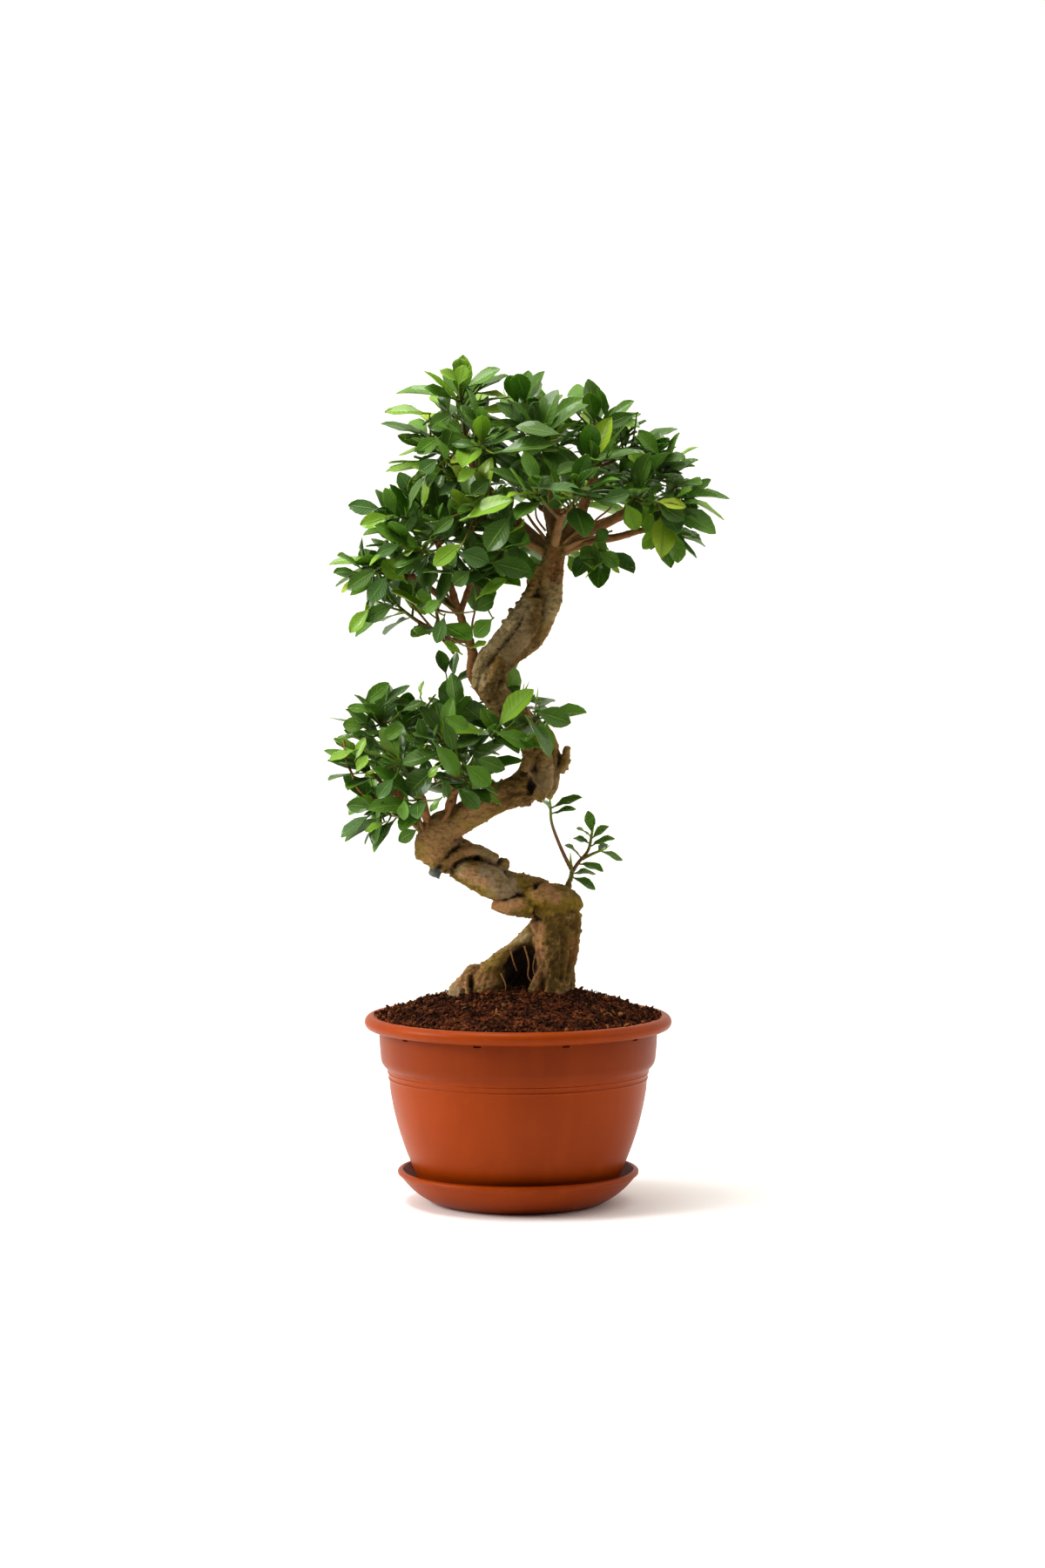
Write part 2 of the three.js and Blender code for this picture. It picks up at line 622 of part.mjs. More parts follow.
// A blade is a flat bar of three lengths, pinched to a point at its root and at its tip.
function leafSolid(leaf) {
  const shape = new THREE.BoxGeometry(2, 3, LEAF_THICK, 1, 3, 1);
  const place = shape.attributes.position;
  for (let k = 0; k < place.count; k += 1) {
    const [along, half] = LEAF_STATIONS[Math.round(place.getY(k) + 1.5)];
    const spot = onLeaf(leaf, along, -place.getX(k) * half, place.getZ(k));
    place.setXYZ(k, spot.x, spot.y, spot.z);
  }
  return solid(shape);
}

function spraySolid(spray) {
  const twig = stem(stretch(spray.way, spray.cut + GAP / 2 / spray.length, 1), twigRadius, 3, 2);
  return joined([twig, ...spray.leaves.map(leafSolid)]);
}

function twigStump(spray) {
  const radiusAt = (share) => TWIG_ROOT + (TWIG_CUT - TWIG_ROOT) * share;
  return stem(stretch(spray.way, 0, spray.cut - GAP / 2 / spray.length), radiusAt, 3, 1);
}

function trunk() {
  const parts = [...LEGS.map((stations) => leg(stations, 0)), trunkStem()];
  parts.push(...FUSED_ROOTS.map(stub), stub(BROKEN_STUB), stub(CUT_STUB), stub(KNOT), stub(SPROUT_FOOT));
  parts.push(...Object.keys(LIMBS).map(limb));
  parts.push(...sprays.filter((spray) => !spray.leads).map(twigStump));
  return joined(parts);
}

// The small sprout on the knee: the root and tip radius and the way of each stem
const SPROUT_STEMS = [
  [2, 1.5, [[42, -1, 262], [43.5, -1, 268], [43, -2, 275]]],
  [1.6, 1.3, [[43, -1, 272], [38, -6, 282], [32, -12, 296], [27, -18, 311], [26, -21, 324]]],
  [1.6, 1.3, [[43, -1, 268], [49, 0, 277], [57, 1, 287], [60, 1, 301]]],
  [1.4, 1.2, [[52, 0, 280], [60, -2, 284], [67, -4, 287]]],
];
// Each of its leaves: the stem, the share of the stem's length, and the leaf's tip
const SPROUT_LEAVES = [
  [1, 0.97, [50, -25, 334]],
  [1, 0.88, [45, -29, 325]],
  [1, 0.94, [20, -34, 333]],
  [2, 0.97, [58, -1, 319]],
  [2, 0.93, [49, -8, 307]],
  [2, 0.88, [73, 8, 308]],
  [2, 0.8, [45, 8, 298]],
  [2, 0.74, [77, -4, 299]],
  [3, 0.96, [85, -7, 281]],
  [3, 0.8, [72, 9, 293]],
  [2, 0.45, [40, -10, 294]],
  [2, 0.3, [69, -11, 274]],
  [0, 0.5, [63, 6, 270]],
  [0, 0.3, [63, -9, 258]],
];
const SPROUT_FOOT = [
  [38, -1, 248, 4],
  [41.9, -1, 261.7, 2.1],
];

function sprout() {
  const ways = SPROUT_STEMS.map(([, , spots]) => smoothWay(spots));
  const stems = SPROUT_STEMS.map(([root, tip, spots], number) => {
    return stem(ways[number], (share) => root + (tip - root) * share, 3, spots.length - 1);
  });
  const leaves = SPROUT_LEAVES.map(([number, share, tip]) => {
    const root = ways[number].getPoint(share);
    const heading = point(...tip).sub(root);
    const length = heading.length();
    return leafSolid(makeLeaf(root, heading.normalize(), point(0, -0.5, 1), length));
  });
  return joined([...stems, ...leaves]);
}

placeLeaves();
addPiece("saucer", "plastic", saucer());
addPiece("pot", "plastic", pot());
addPiece("soil", "soil", soil());
addPiece("trunk", "bark", trunk());
const counts = {};
for (const spray of sprays) {
  counts[spray.pad] = (counts[spray.pad] ?? 0) + 1;
  const number = String(counts[spray.pad]).padStart(2, "0");
  addPiece(`${spray.pad}_spray_${number}`, "leaf", spraySolid(spray));
}
addPiece("knee_sprout", "leaf", sprout());

export default group;
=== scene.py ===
# %% [markdown]
# A ficus ginseng in a bowl pot. The plant is a small S-shaped tree with a swollen foot, three pads of leafy
# sprays and one small sprout, potted in a terracotta-coloured plastic bowl on a saucer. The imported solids
# give every size and place. Here each of them gets its fine surface, and the leaves that the solids leave
# out.

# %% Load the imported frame
import math

import bmesh
import bpy
import numpy as np
from mathutils import Matrix, Vector, noise


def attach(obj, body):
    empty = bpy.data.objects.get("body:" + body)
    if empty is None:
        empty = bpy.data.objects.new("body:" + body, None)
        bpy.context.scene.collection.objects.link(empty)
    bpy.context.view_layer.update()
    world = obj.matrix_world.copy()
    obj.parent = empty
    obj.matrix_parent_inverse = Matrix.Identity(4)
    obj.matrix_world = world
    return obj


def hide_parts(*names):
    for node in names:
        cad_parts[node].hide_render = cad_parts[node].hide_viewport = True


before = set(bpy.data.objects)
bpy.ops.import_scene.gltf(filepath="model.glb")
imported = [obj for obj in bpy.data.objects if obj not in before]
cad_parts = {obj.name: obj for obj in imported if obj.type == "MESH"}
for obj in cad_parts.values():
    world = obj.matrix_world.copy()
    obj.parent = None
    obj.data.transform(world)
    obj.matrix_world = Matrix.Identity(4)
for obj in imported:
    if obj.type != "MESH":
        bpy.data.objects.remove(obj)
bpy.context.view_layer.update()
MM = 0.001

# %% [markdown]
# The photograph was taken from a little above the middle of the plant, with a long lens, so the rim shows as
# a flat ellipse. The camera stands 3 m away at the same height and tilt, and its lens gives the same framing.

# %% Camera
CAMERA_SPOT = (0.0035, -3.0, 0.516)
CAMERA_TILT = 3.34
LENS_LENGTH = 84.96
FILM_WIDTH = 36


def placed(name, data):
    """A new object of the scene, at the origin."""
    thing = bpy.data.objects.new(name, data)
    bpy.context.scene.collection.objects.link(thing)
    return thing


lens = bpy.data.cameras.new("camera")
lens.lens = LENS_LENGTH
lens.sensor_width = FILM_WIDTH
camera = placed("camera", lens)
camera.location = CAMERA_SPOT
camera.rotation_euler = (math.radians(90 - CAMERA_TILT), 0, 0)
bpy.context.scene.camera = camera
print("camera", tuple(round(value, 3) for value in camera.location))

# %% [markdown]
# A finish is a small network of nodes. Writing it as sums and products keeps it readable, so one class wraps
# a socket: an operator on it adds a Math node, and one method adds any other node. Colours go through Mix
# nodes.

# %% A socket that can be calculated with
def linear(colour):
    """A colour of the screen, such as #8A6B45, as the linear values that a shader takes."""
    parts = [int(colour[k:k + 2], 16) / 255 for k in (1, 3, 5)]
    return tuple(p / 12.92 if p < 0.04045 else ((p + 0.055) / 1.055) ** 2.4 for p in parts) + (1.0,)


class Flow:
    """An output socket. Sums and products of flows add Math nodes, and node() adds any other node."""

    def __init__(self, socket):
        self.socket = socket

    def node(self, kind, settings=None, sockets=None, out=0):
        made = self.socket.id_data.nodes.new("ShaderNode" + kind)
        for name, value in (settings or {}).items():
            setattr(made, name, value)
        for name, value in (sockets or {}).items():
            if isinstance(value, Flow):
                self.socket.id_data.links.new(value.socket, made.inputs[name])
            else:
                made.inputs[name].default_value = value
        return Flow(made.outputs[out])

    def maths(self, operation, *values):
        return self.node("Math", {"operation": operation}, dict(enumerate(values)))

    def __add__(self, other):
        return self.maths("ADD", self, other)

    def __sub__(self, other):
        return self.maths("SUBTRACT", self, other)

    def __rsub__(self, other):
        return self.maths("SUBTRACT", other, self)

    def __mul__(self, other):
        return self.maths("MULTIPLY", self, other)

    __radd__ = __add__
    __rmul__ = __mul__

    def ramp(self, low, high):
        """0 below low, 1 above high, and a smooth step between them."""
        sockets = {"Value": self, "From Min": low, "From Max": high}
        return self.node("MapRange", {"interpolation_type": "SMOOTHSTEP"}, sockets)

    def flat(self, code):
        """One colour, such as #8A6B45, for others to be mixed into."""
        made = self.node("RGB")
        made.socket.default_value = linear(code)
        return made

    def tint(self, share, colour):
        """This colour, mixed by a share from 0 to 1 with a colour such as #8A6B45, or with another flow."""
        other = linear(colour) if isinstance(colour, str) else colour
        return self.node("Mix", {"data_type": "RGBA"}, {0: share, 6: self, 7: other}, out=2)

    def noise(self, scale, detail=3.0, roughness=0.5, stretch=None):
        """A cloudy pattern, about 0 to 1, of that many waves a metre."""
        place = self.node("Mapping", None, {"Vector": self, "Scale": stretch}) if stretch else self
        sockets = {"Vector": place, "Scale": scale, "Detail": detail, "Roughness": roughness}
        return self.node("TexNoise", None, sockets)


print("terracotta is", tuple(round(v, 3) for v in linear("#8D3902")))

# %% [markdown]
# Every finish starts the same way: an empty material with its own coordinates, in metres from the plant's
# foot, and ends in one shader. Colour, roughness and the bumps may change over the surface. The rest are
# constants.

# %% Starting and closing a finish
def start_finish(name):
    material = bpy.data.materials.new(name)
    material.use_nodes = True
    material.node_tree.nodes.clear()
    place = Flow(material.node_tree.nodes.new("ShaderNodeTexCoord").outputs["Object"])
    return material, place


def painted(place, name):
    """A value that was stored on the mesh, such as a leaf's age."""
    return place.node("Attribute", {"attribute_name": name}, out=2)


def close_finish(material, place, colour, roughness, height=None, bump=0.001, **constants):
    sockets = {"Base Color": colour, "Roughness": roughness}
    if height is not None:
        sockets["Normal"] = place.node("Bump", None, {"Height": height, "Distance": bump})
    sockets.update({name.replace("_", " "): value for name, value in constants.items()})
    shader = place.node("BsdfPrincipled", None, sockets)
    output = material.node_tree.nodes.new("ShaderNodeOutputMaterial")
    material.node_tree.links.new(shader.socket, output.inputs["Surface"])
    print("finish", material.name, len(material.node_tree.nodes), "nodes")
    return material

# %% [markdown]
# The pot and the saucer are one batch of injection-moulded plastic: an even terracotta colour with a satin
# skin. Up close it has a faint mottle from the pigment, fine upright streaks where the mould was filled and
# a few dull scuffs. The upright band under the rim gets painted shade, where the rim's overhang shades it.

# %% Terracotta plastic
def terracotta_plastic():
    material, place = start_finish("terracotta_plastic")
    mottle = place.noise(14, 4)
    streaks = place.noise(60, 2, stretch=(1, 1, 0.06))
    scuffs = place.noise(220, 5, 0.7, stretch=(0.5, 0.5, 1.4)).ramp(0.62, 0.75)
    colour = place.flat("#8D3902")
    colour = colour.tint(mottle.ramp(0.35, 0.7) * 0.35, "#7C2E00")
    colour = colour.tint(streaks.ramp(0.45, 0.8) * 0.22, "#9E470B")
    colour = colour.tint(scuffs * 0.18, "#AE6C3C")
    height = place.node("SeparateXYZ", None, {0: place}, out=2)
    # painted shade: the upright band under the rim is darker, where the rim's overhang shades it
    painted_rim_shade = height.ramp(0.107, 0.113) * (1 - height.ramp(0.141, 0.145))
    colour = colour.tint(painted_rim_shade * 0.35, "#5C2000")
    roughness = 0.32 + mottle * 0.10 + scuffs * 0.12 + streaks * 0.05
    grain = place.noise(900, 2)
    return close_finish(material, place, colour, roughness, grain + streaks * 2, 0.00008,
                        Specular_IOR_Level=0.12)


PLASTIC = terracotta_plastic()

# %% [markdown]
# Coco peat is a dark red-brown tangle of short fibres and crumbs. It is never shiny, so its roughness is
# high, and its colour changes from nearly black in the gaps to rust on the dry bits. Each crumb has a tone of
# its own.

# %% Potting soil
def potting_soil():
    material, place = start_finish("potting_soil")
    tone = painted(place, "tone")
    fine = place.noise(300, 6, 0.75)
    coarse = place.noise(85, 4, 0.6)
    colour = place.flat("#1E0B03")
    colour = colour.tint(fine.ramp(0.44, 0.62), "#6E3716")
    colour = colour.tint((coarse * fine).ramp(0.27, 0.38) * 0.8, "#9A5630")
    colour = colour.tint(place.noise(55, 3).ramp(0.5, 0.64) * 0.35, "#8A4A28")
    colour = colour.tint((tone + fine * 0.3).ramp(0.75, 1.15), "#A8703E")
    roughness = 0.86 + fine * 0.12
    return close_finish(material, place, colour, roughness, fine + coarse, 0.002, Specular_IOR_Level=0.15)


SOIL = potting_soil()

# %% [markdown]
# The bark is smooth and grey-brown on the swellings and olive where algae grows on the old lower trunk. Its
# creases get painted shade: the mesh stores a shade value from how deep each point lies, so the painted shade
# falls where the creases really are. Young twigs are redder and darker, and a stored value turns one bark into
# the other.

# %% Bark
BARK_TINTS = {
    "pale": "#BDA77C", "torn": "#8A5830", "moss": "#8A7412", "pink": "#AE8058", "grey": "#A28E70",
    # the dark kind is painted shade on the undersides and shaded sides of the forms in front, with the darker
    # bark there; behind it falls at random
    "dark": "#50390E",
}


def bark():
    material, place = start_finish("bark")
    shade_and_tone = painted(place, "shade_and_tone")
    young = painted(place, "young")
    cloud = place.noise(38, 5, 0.6)
    speck = place.noise(260, 5, 0.75)
    wrinkle = place.noise(120, 4, 0.65, stretch=(1, 1, 2.6))
    height = place.node("SeparateXYZ", None, {0: place}, out=2)
    old = 1 - height.ramp(0.20, 0.36)
    streak = painted(place, "streak")
    colour = place.flat("#7E6026")
    colour = colour.tint(cloud.ramp(0.38, 0.62) * 0.75, "#9C8050")
    algae = (place.noise(22, 4) + speck * 0.35).ramp(0.6, 0.82) * (0.1 + old * 0.6)
    colour = colour.tint(algae, "#66520F")
    blotch = place.noise(150, 4, 0.7).ramp(0.3, 0.6) * 0.5 + 0.5
    for kind, tint in BARK_TINTS.items():
        colour = colour.tint(painted(place, kind) * blotch, tint)
    colour = colour.tint((streak + speck * 0.2).ramp(0.66, 0.95) * 0.4, "#46300F")
    colour = colour.tint((1 - streak).ramp(0.58, 0.8) * 0.35, "#A88A5C")
    colour = colour.tint(wrinkle.ramp(0.48, 0.72) * 0.5, "#50360F")
    colour = colour.tint(speck.ramp(0.52, 0.8) * 0.4, "#38240E")
    colour = colour.tint(painted(place, "cut"), "#5C6460")
    # painted shade: darker in the creases, valleys and hollows, by the stored shade value
    colour = colour.tint(shade_and_tone.ramp(0.2, 0.95) * 0.95, "#190D04")
    twig = place.flat("#94683E")
    twig = twig.tint(speck.ramp(0.45, 0.65) * 0.5, "#4A2E16")
    colour = colour.tint(young, twig)
    roughness = 0.66 + speck * 0.2
    relief = wrinkle * 1.5 + speck + cloud
    return close_finish(material, place, colour, roughness, relief, 0.0011, Specular_IOR_Level=0.25)


BARK = bark()

# %% [markdown]
# A leaf is leathery and waxy, darkest when old. Its mesh carries all that makes it differ from its neighbour:
# its age, its tone and which side is the underside. A low tone gives a blue-grey painted reflection. Its own
# map runs across and along the blade, so the pale midrib and the faint side veins follow the leaf wherever it
# points. The shoot shares the finish, as its bark turns from brown into the green of the newest leaf.

# %% Leaves and shoots
LEAF_VALUES = ("age", "tone", "under", "wood")


def leaf_and_shoot():
    material, place = start_finish("leaf_and_shoot")
    age, tone, under, wood = (painted(place, name) for name in LEAF_VALUES)
    blade = place.node("UVMap", {"uv_map": "blade"})
    across = place.node("SeparateXYZ", None, {0: blade}, out=0)
    along = place.node("SeparateXYZ", None, {0: blade}, out=1)
    aside = across - 0.5
    out = aside.maths("ABSOLUTE", aside) * 2
    midrib = 1 - out.ramp(0.03, 0.11)
    rise = (along - out * 0.16) * 75
    veins = rise.maths("SINE", rise)
    mottle = place.noise(90, 3)
    colour = place.flat("#0F2802")
    colour = colour.tint(tone.ramp(0.35, 0.95), "#4F780E")
    # painted reflection: leaves of low tone get the blue-grey that a waxy leaf shows of the bright room
    colour = colour.tint((0.35 - tone).ramp(0.12, 0.35) * 0.75, "#2C4A40")
    colour = colour.tint(mottle.ramp(0.4, 0.75) * 0.35, "#0F2404")
    colour = colour.tint(age.ramp(0.25, 0.8), "#88AA1A")
    colour = colour.tint(age.ramp(0.75, 1.0), "#C4CC28")
    colour = colour.tint(under * 0.5, "#5A7F26")
    colour = colour.tint(midrib * 0.55, "#7C9E3A")
    colour = colour.tint(veins.ramp(0.5, 1.0) * 0.16, "#67893A")
    shoot = place.flat("#66701E")
    shoot = shoot.tint(wood.ramp(0.35, 0.8), "#6A4522")
    colour = colour.tint(wood.ramp(0.02, 0.1), shoot)
    roughness = 0.2 + under * 0.3 + mottle * 0.12 + wood.ramp(0.02, 0.1) * 0.3
    height = midrib * -1.2 + veins * 0.12 + mottle * 0.4
    return close_finish(material, place, colour, roughness, height, 0.0005, Specular_IOR_Level=0.24,
                        Coat_Weight=0.3, Coat_Roughness=0.12,
                        Subsurface_Weight=0.14, Subsurface_Scale=0.002, Subsurface_Radius=(0.6, 1.0, 0.1))


LEAF = leaf_and_shoot()

# %% [markdown]
# Every new piece ends the same way. It is modelled in millimetres, so its numbers read like the ones on a
# drawing, and shrinks to metres at the end. It rides on the plant's one body, and takes the place of its
# solid.

# %% Showing a piece
TRIANGLES = {}


def as_mesh(name, shape):
    mesh = bpy.data.meshes.new(name)
    shape.to_mesh(mesh)
    shape.free()
    return mesh


def show(name, shape, material, slot, *nodes, crisp=None):
    """Makes a shape a piece. Its edges stay crisp where its faces meet at more than that many degrees."""
    bmesh.ops.scale(shape, vec=(MM, MM, MM), verts=shape.verts)
    mesh = as_mesh(name, shape)
    mesh.materials.append(material)
    mesh.shade_smooth()
    if crisp:
        mesh.set_sharp_from_angle(angle=math.radians(crisp))
    piece = placed(name, mesh)
    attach(piece, "root")
    if nodes:
        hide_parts(*nodes)
    mesh.calc_loop_triangles()
    TRIANGLES[name] = len(mesh.loop_triangles)


# %% [markdown]
# A turned shape is its half outline, spun once round. The outline's two ends lie on the axis, so the spin
# closes it, and the double points there are merged before the faces are turned outwards.

# %% Turning an outline
MERGED = 0.001


def turned(outline, steps):
    shape = bmesh.new()
    points = [shape.verts.new((radius, 0, height)) for radius, height in outline]
    edges = [shape.edges.new(pair) for pair in zip(points, points[1:])]
    bmesh.ops.spin(shape, geom=points + edges, cent=(0, 0, 0), axis=(0, 0, 1), angle=2 * math.pi,
                   steps=steps, use_merge=True)
    bmesh.ops.remove_doubles(shape, verts=shape.verts, dist=MERGED)
    bmesh.ops.recalc_face_normals(shape, faces=shape.faces)
    return shape


def curve(start, pull, end, count):
    """Points on a curve from start to end, which bends towards pull. The start is left out."""
    shares = [(k + 1) / count for k in range(count)]
    return [tuple((1 - t) ** 2 * a + 2 * t * (1 - t) * b + t * t * c for a, b, c in zip(start, pull, end))
            for t in shares]


def arc(middle, radius, start, end, count):
    """Points on an arc from one angle to another, both of them in it."""
    turns = [math.radians(start + (end - start) * k / count) for k in range(count + 1)]
    return [(middle[0] + radius * math.cos(t), middle[1] + radius * math.sin(t)) for t in turns]


print("outlines can be turned")

# %% [markdown]
# The pot's outline is read off its silhouette: a foot that curves into a bowl, a rounded shoulder with a thin
# moulded line below it, a nearly upright band, and a rolled rim. The wall is 2.5 mm thick all the way.

# %% Pot
GAP = 0.3
SAUCER_FLOOR = 3
POT_BASE = SAUCER_FLOOR + GAP
POT_FLOOR = 3
POT_WALL = 2.5
POT_TOP = 153
POT_RADIUS = 125
RIM_BEAD = 5.5
BAND_RADIUS = 113.3


def pot_outline():
    outside = [(0, POT_BASE), (61, POT_BASE)]
    outside += arc((62.5, POT_BASE + 1.6), 1.6, -90, -30, 3)
    outside += curve((64, POT_BASE + 0.8), (78, 7), (83.7, 23.7), 8)
    outside += curve((83.7, 23.7), (99.5, 57), (104.6, 93), 16)
    outside += [(105.0, 98.4), (105.2, 100.3)] + arc((105.2, 101.9), 0.8, -70, 75, 4)
    outside += [(105.5, 103.4), (105.8, 104.9)] + arc((105.9, 106.5), 0.8, -70, 75, 4)
    outside += curve((106.4, 107.9), (107.2, 109.8), (109.6, 112.2), 5)
    outside += curve((109.6, 112.2), (111.7, 114.4), (112.1, 118.6), 5)
    outside += [(112.8, 127), (BAND_RADIUS, 135), (113.5, 139.4), (113.6, 141.7)]
    rim = (POT_RADIUS - RIM_BEAD, POT_TOP - RIM_BEAD)
    outside += arc(rim, RIM_BEAD, -95, 100, 18)
    outside += [(113.6, 152.2), (111.4, 151)]
    wall = POT_WALL
    inside = [(BAND_RADIUS - wall, 147), (BAND_RADIUS - wall, 134), (110.6 - wall, 111), (105.2 - wall, 99)]
    inside += curve((105.2 - wall, 99), (96.7 - wall + 2.5, 58), (83.7 - wall, 25), 12)
    inside += curve((83.7 - wall, 25), (77, 9.5), (64, POT_BASE + POT_FLOOR), 6)
    return outside + inside + [(0, POT_BASE + POT_FLOOR)]


print("the pot's outline has", len(pot_outline()), "points")

# %% [markdown]
# Ten small slots sit under the rim, where the mould's slides left them. They are single faces of the band,
# inset and pushed in. The four drainage holes in the floor are cut by a Boolean, which is applied at once.

# %% Slots and drainage holes
SLOTS = 10
SLOT_START = -143
SLOT_RING = 113.5
SLOT_HEIGHT = 140.5
SLOT_MARGIN = 0.25
SLOT_DEPTH = 2
DRAINS = 4
DRAIN_RADIUS = 5
DRAIN_RING = 38
DRILL_LENGTH = 9
POT_STEPS = 120


def cut_slots(shape):
    for k in range(SLOTS):
        turn = math.radians(SLOT_START + k * 360 / SLOTS)
        spot = Vector((SLOT_RING * math.cos(turn), SLOT_RING * math.sin(turn), SLOT_HEIGHT))
        face = min(shape.faces, key=lambda f: (f.calc_center_median() - spot).length)
        bmesh.ops.inset_individual(shape, faces=[face], thickness=SLOT_MARGIN)
        bmesh.ops.translate(shape, verts=face.verts, vec=-face.normal * SLOT_DEPTH)


def with_modifiers(thing):
    """The shape of an object once its modifiers are applied. The object goes."""
    result = bmesh.new()
    result.from_object(thing, bpy.context.evaluated_depsgraph_get())
    bpy.data.objects.remove(thing)
    return result


def drilled(shape):
    """The shape with round holes through its floor."""
    drills = bmesh.new()
    for k in range(DRAINS):
        turn = (k + 0.5) / DRAINS * 2 * math.pi
        spot = (DRAIN_RING * math.cos(turn), DRAIN_RING * math.sin(turn), POT_BASE + POT_FLOOR / 2)
        bmesh.ops.create_cone(drills, cap_ends=True, segments=24, radius1=DRAIN_RADIUS, radius2=DRAIN_RADIUS,
                              depth=DRILL_LENGTH, matrix=Matrix.Translation(spot))
    solid = placed("drilled", as_mesh("drilled", shape))
    drill = placed("drills", as_mesh("drills", drills))
    cutter = solid.modifiers.new("holes", "BOOLEAN")
    cutter.object = drill
    cutter.operation = "DIFFERENCE"
    cutter.solver = "EXACT"
    result = with_modifiers(solid)
    bpy.data.objects.remove(drill)
    return result


pot_shape = turned(pot_outline(), POT_STEPS)
cut_slots(pot_shape)
show("pot_shell", drilled(pot_shape), PLASTIC, "terracotta_plastic", "pot", crisp=38)
print("pot", TRIANGLES["pot_shell"], "triangles, with", SLOTS, "slots")

# %% [markdown]
# The saucer is a shallow dish with a rounded lip that hangs a little outside its flared wall. It is turned
# too.

# %% Saucer
SAUCER_RADIUS = 98.5


def saucer_outline():
    outside = [(0, 0), (66, 0)] + curve((66, 0), (69, 0.1), (71.5, 1.4), 4)
    outside += curve((71.5, 1.4), (87, 9), (SAUCER_RADIUS - 2.3, 22.2), 10)
    outside += arc((SAUCER_RADIUS - 2.2, 24.6), 2.2, -70, 60, 6)
    outside += arc((SAUCER_RADIUS - 3.4, 25), 2, 60, 120, 3)
    inside = [(SAUCER_RADIUS - 5, 25.6)] + curve((SAUCER_RADIUS - 5, 25), (86, 12), (73, 4), 10)
    inside += curve((73, 4), (71, 3.1), (68, SAUCER_FLOOR), 3)
    return outside + inside + [(0, SAUCER_FLOOR)]


show("saucer_dish", turned(saucer_outline(), POT_STEPS), PLASTIC, "terracotta_plastic", "saucer", crisp=40)
print("saucer", TRIANGLES["saucer_dish"], "triangles")

# %% [markdown]
# All that grows follows a way: a smooth curve through a few spots, or the bend of a twig. A way gives a spot
# and a heading for each share of its length, so a stem can be laid along it, and a leaf can find where it
# starts.

# %% Ways
class SmoothWay:
    """A smooth curve through given spots, with the same rule as the solids."""

    def __init__(self, spots):
        spots = [np.array(spot[:3], float) for spot in spots]
        self.spots = [2 * spots[0] - spots[1]] + spots + [2 * spots[-1] - spots[-2]]

    def point(self, share):
        last = len(self.spots) - 3
        low = min(int(share * last), last - 1)
        t = share * last - low
        before, start, end, after = self.spots[low:low + 4]
        leave, arrive = (end - before) / 2, (after - start) / 2
        return (start + leave * t + (3 * (end - start) - 2 * leave - arrive) * t * t
                + (2 * (start - end) + leave + arrive) * t ** 3)

    def heading(self, share):
        return unit(self.point(min(share + 1e-4, 1)) - self.point(max(share - 1e-4, 0)))


class TwigWay(SmoothWay):
    """A curve from a root to a tip, which sags towards a middle spot."""

    def __init__(self, root, middle, tip):
        self.root, self.middle, self.tip = root, middle, tip

    def point(self, share):
        rest = 1 - share
        return rest * rest * self.root + 2 * rest * share * self.middle + share * share * self.tip

    def length(self):
        spots = [self.point(k / 200) for k in range(201)]
        return sum(np.linalg.norm(b - a) for a, b in zip(spots, spots[1:]))


class Stretch(SmoothWay):
    """A part of another way."""

    def __init__(self, way, start, end):
        self.way, self.start, self.end = way, start, end

    def point(self, share):
        return self.way.point(self.start + (self.end - self.start) * share)

    def heading(self, share):
        return self.way.heading(self.start + (self.end - self.start) * share)


def unit(arrow):
    return arrow / np.linalg.norm(arrow)


def across_of(along):
    """A direction square to a heading, turned towards the back where it can be."""
    side = np.array([0, 1, 0.0]) if abs(along[1]) < 0.8 else np.array([1, 0, 0.0])
    return unit(side - along * side.dot(along))


def leaning(along, lean, turn):
    """A heading that leans away from another, towards the side that its turn gives."""
    side = across_of(along)
    aside = side * math.sin(turn) + np.cross(side, along) * math.cos(turn)
    return along * math.cos(lean) + aside * math.sin(lean)


print("the ways are ready")

# %% [markdown]
# A stem is a straight closed tube, cut into rings and bent on its way, with a radius for each share of its
# length. Its rings are turned as little as they can be from one to the next, so the tube isn't wrung.

# %% Stems
def frames_on(way, rings):
    frames = []
    side = across_of(way.heading(0))
    for k in range(rings + 1):
        along = way.heading(k / rings)
        side = unit(side - along * side.dot(along))
        frames.append((way.point(k / rings), side, np.cross(side, along)))
    return frames


def stem(way, radius_at, sides, rings):
    shape = bmesh.new()
    bmesh.ops.create_cone(shape, cap_ends=True, segments=sides, radius1=1, radius2=1, depth=1)
    upright = [e for e in shape.edges if abs(e.verts[0].co.z - e.verts[1].co.z) > 0.5]
    bmesh.ops.subdivide_edges(shape, edges=upright, cuts=rings - 1, use_grid_fill=True)
    frames = frames_on(way, rings)
    for vert in shape.verts:
        share = vert.co.z + 0.5
        spot, side, back = frames[round(share * rings)]
        turn = math.atan2(vert.co.x, vert.co.y)
        vert.co = spot + (side * math.sin(turn) + back * math.cos(turn)) * radius_at(share, turn)
    bmesh.ops.recalc_face_normals(shape, faces=shape.faces)
    return shape


def pour(target, shape):
    """Adds one shape to another."""
    mesh = as_mesh("poured", shape)
    target.from_mesh(mesh)
    bpy.data.meshes.remove(mesh)


def station_radius(stations, share):
    """The radius between stations (x, y, z, radius), by share of their count."""
    at = share * (len(stations) - 1)
    low = min(int(at), len(stations) - 2)
    return stations[low][3] * (low + 1 - at) + stations[low + 1][3] * (at - low)


print("the stems are ready")

# %% [markdown]
# The trunk's stations are the places and radii that its solid was built from, so the fine trunk fills the
# same space: two fat legs and a back root in the soil, the knee, the long S, the broken stub, the knot and
# the foot of the sprout.

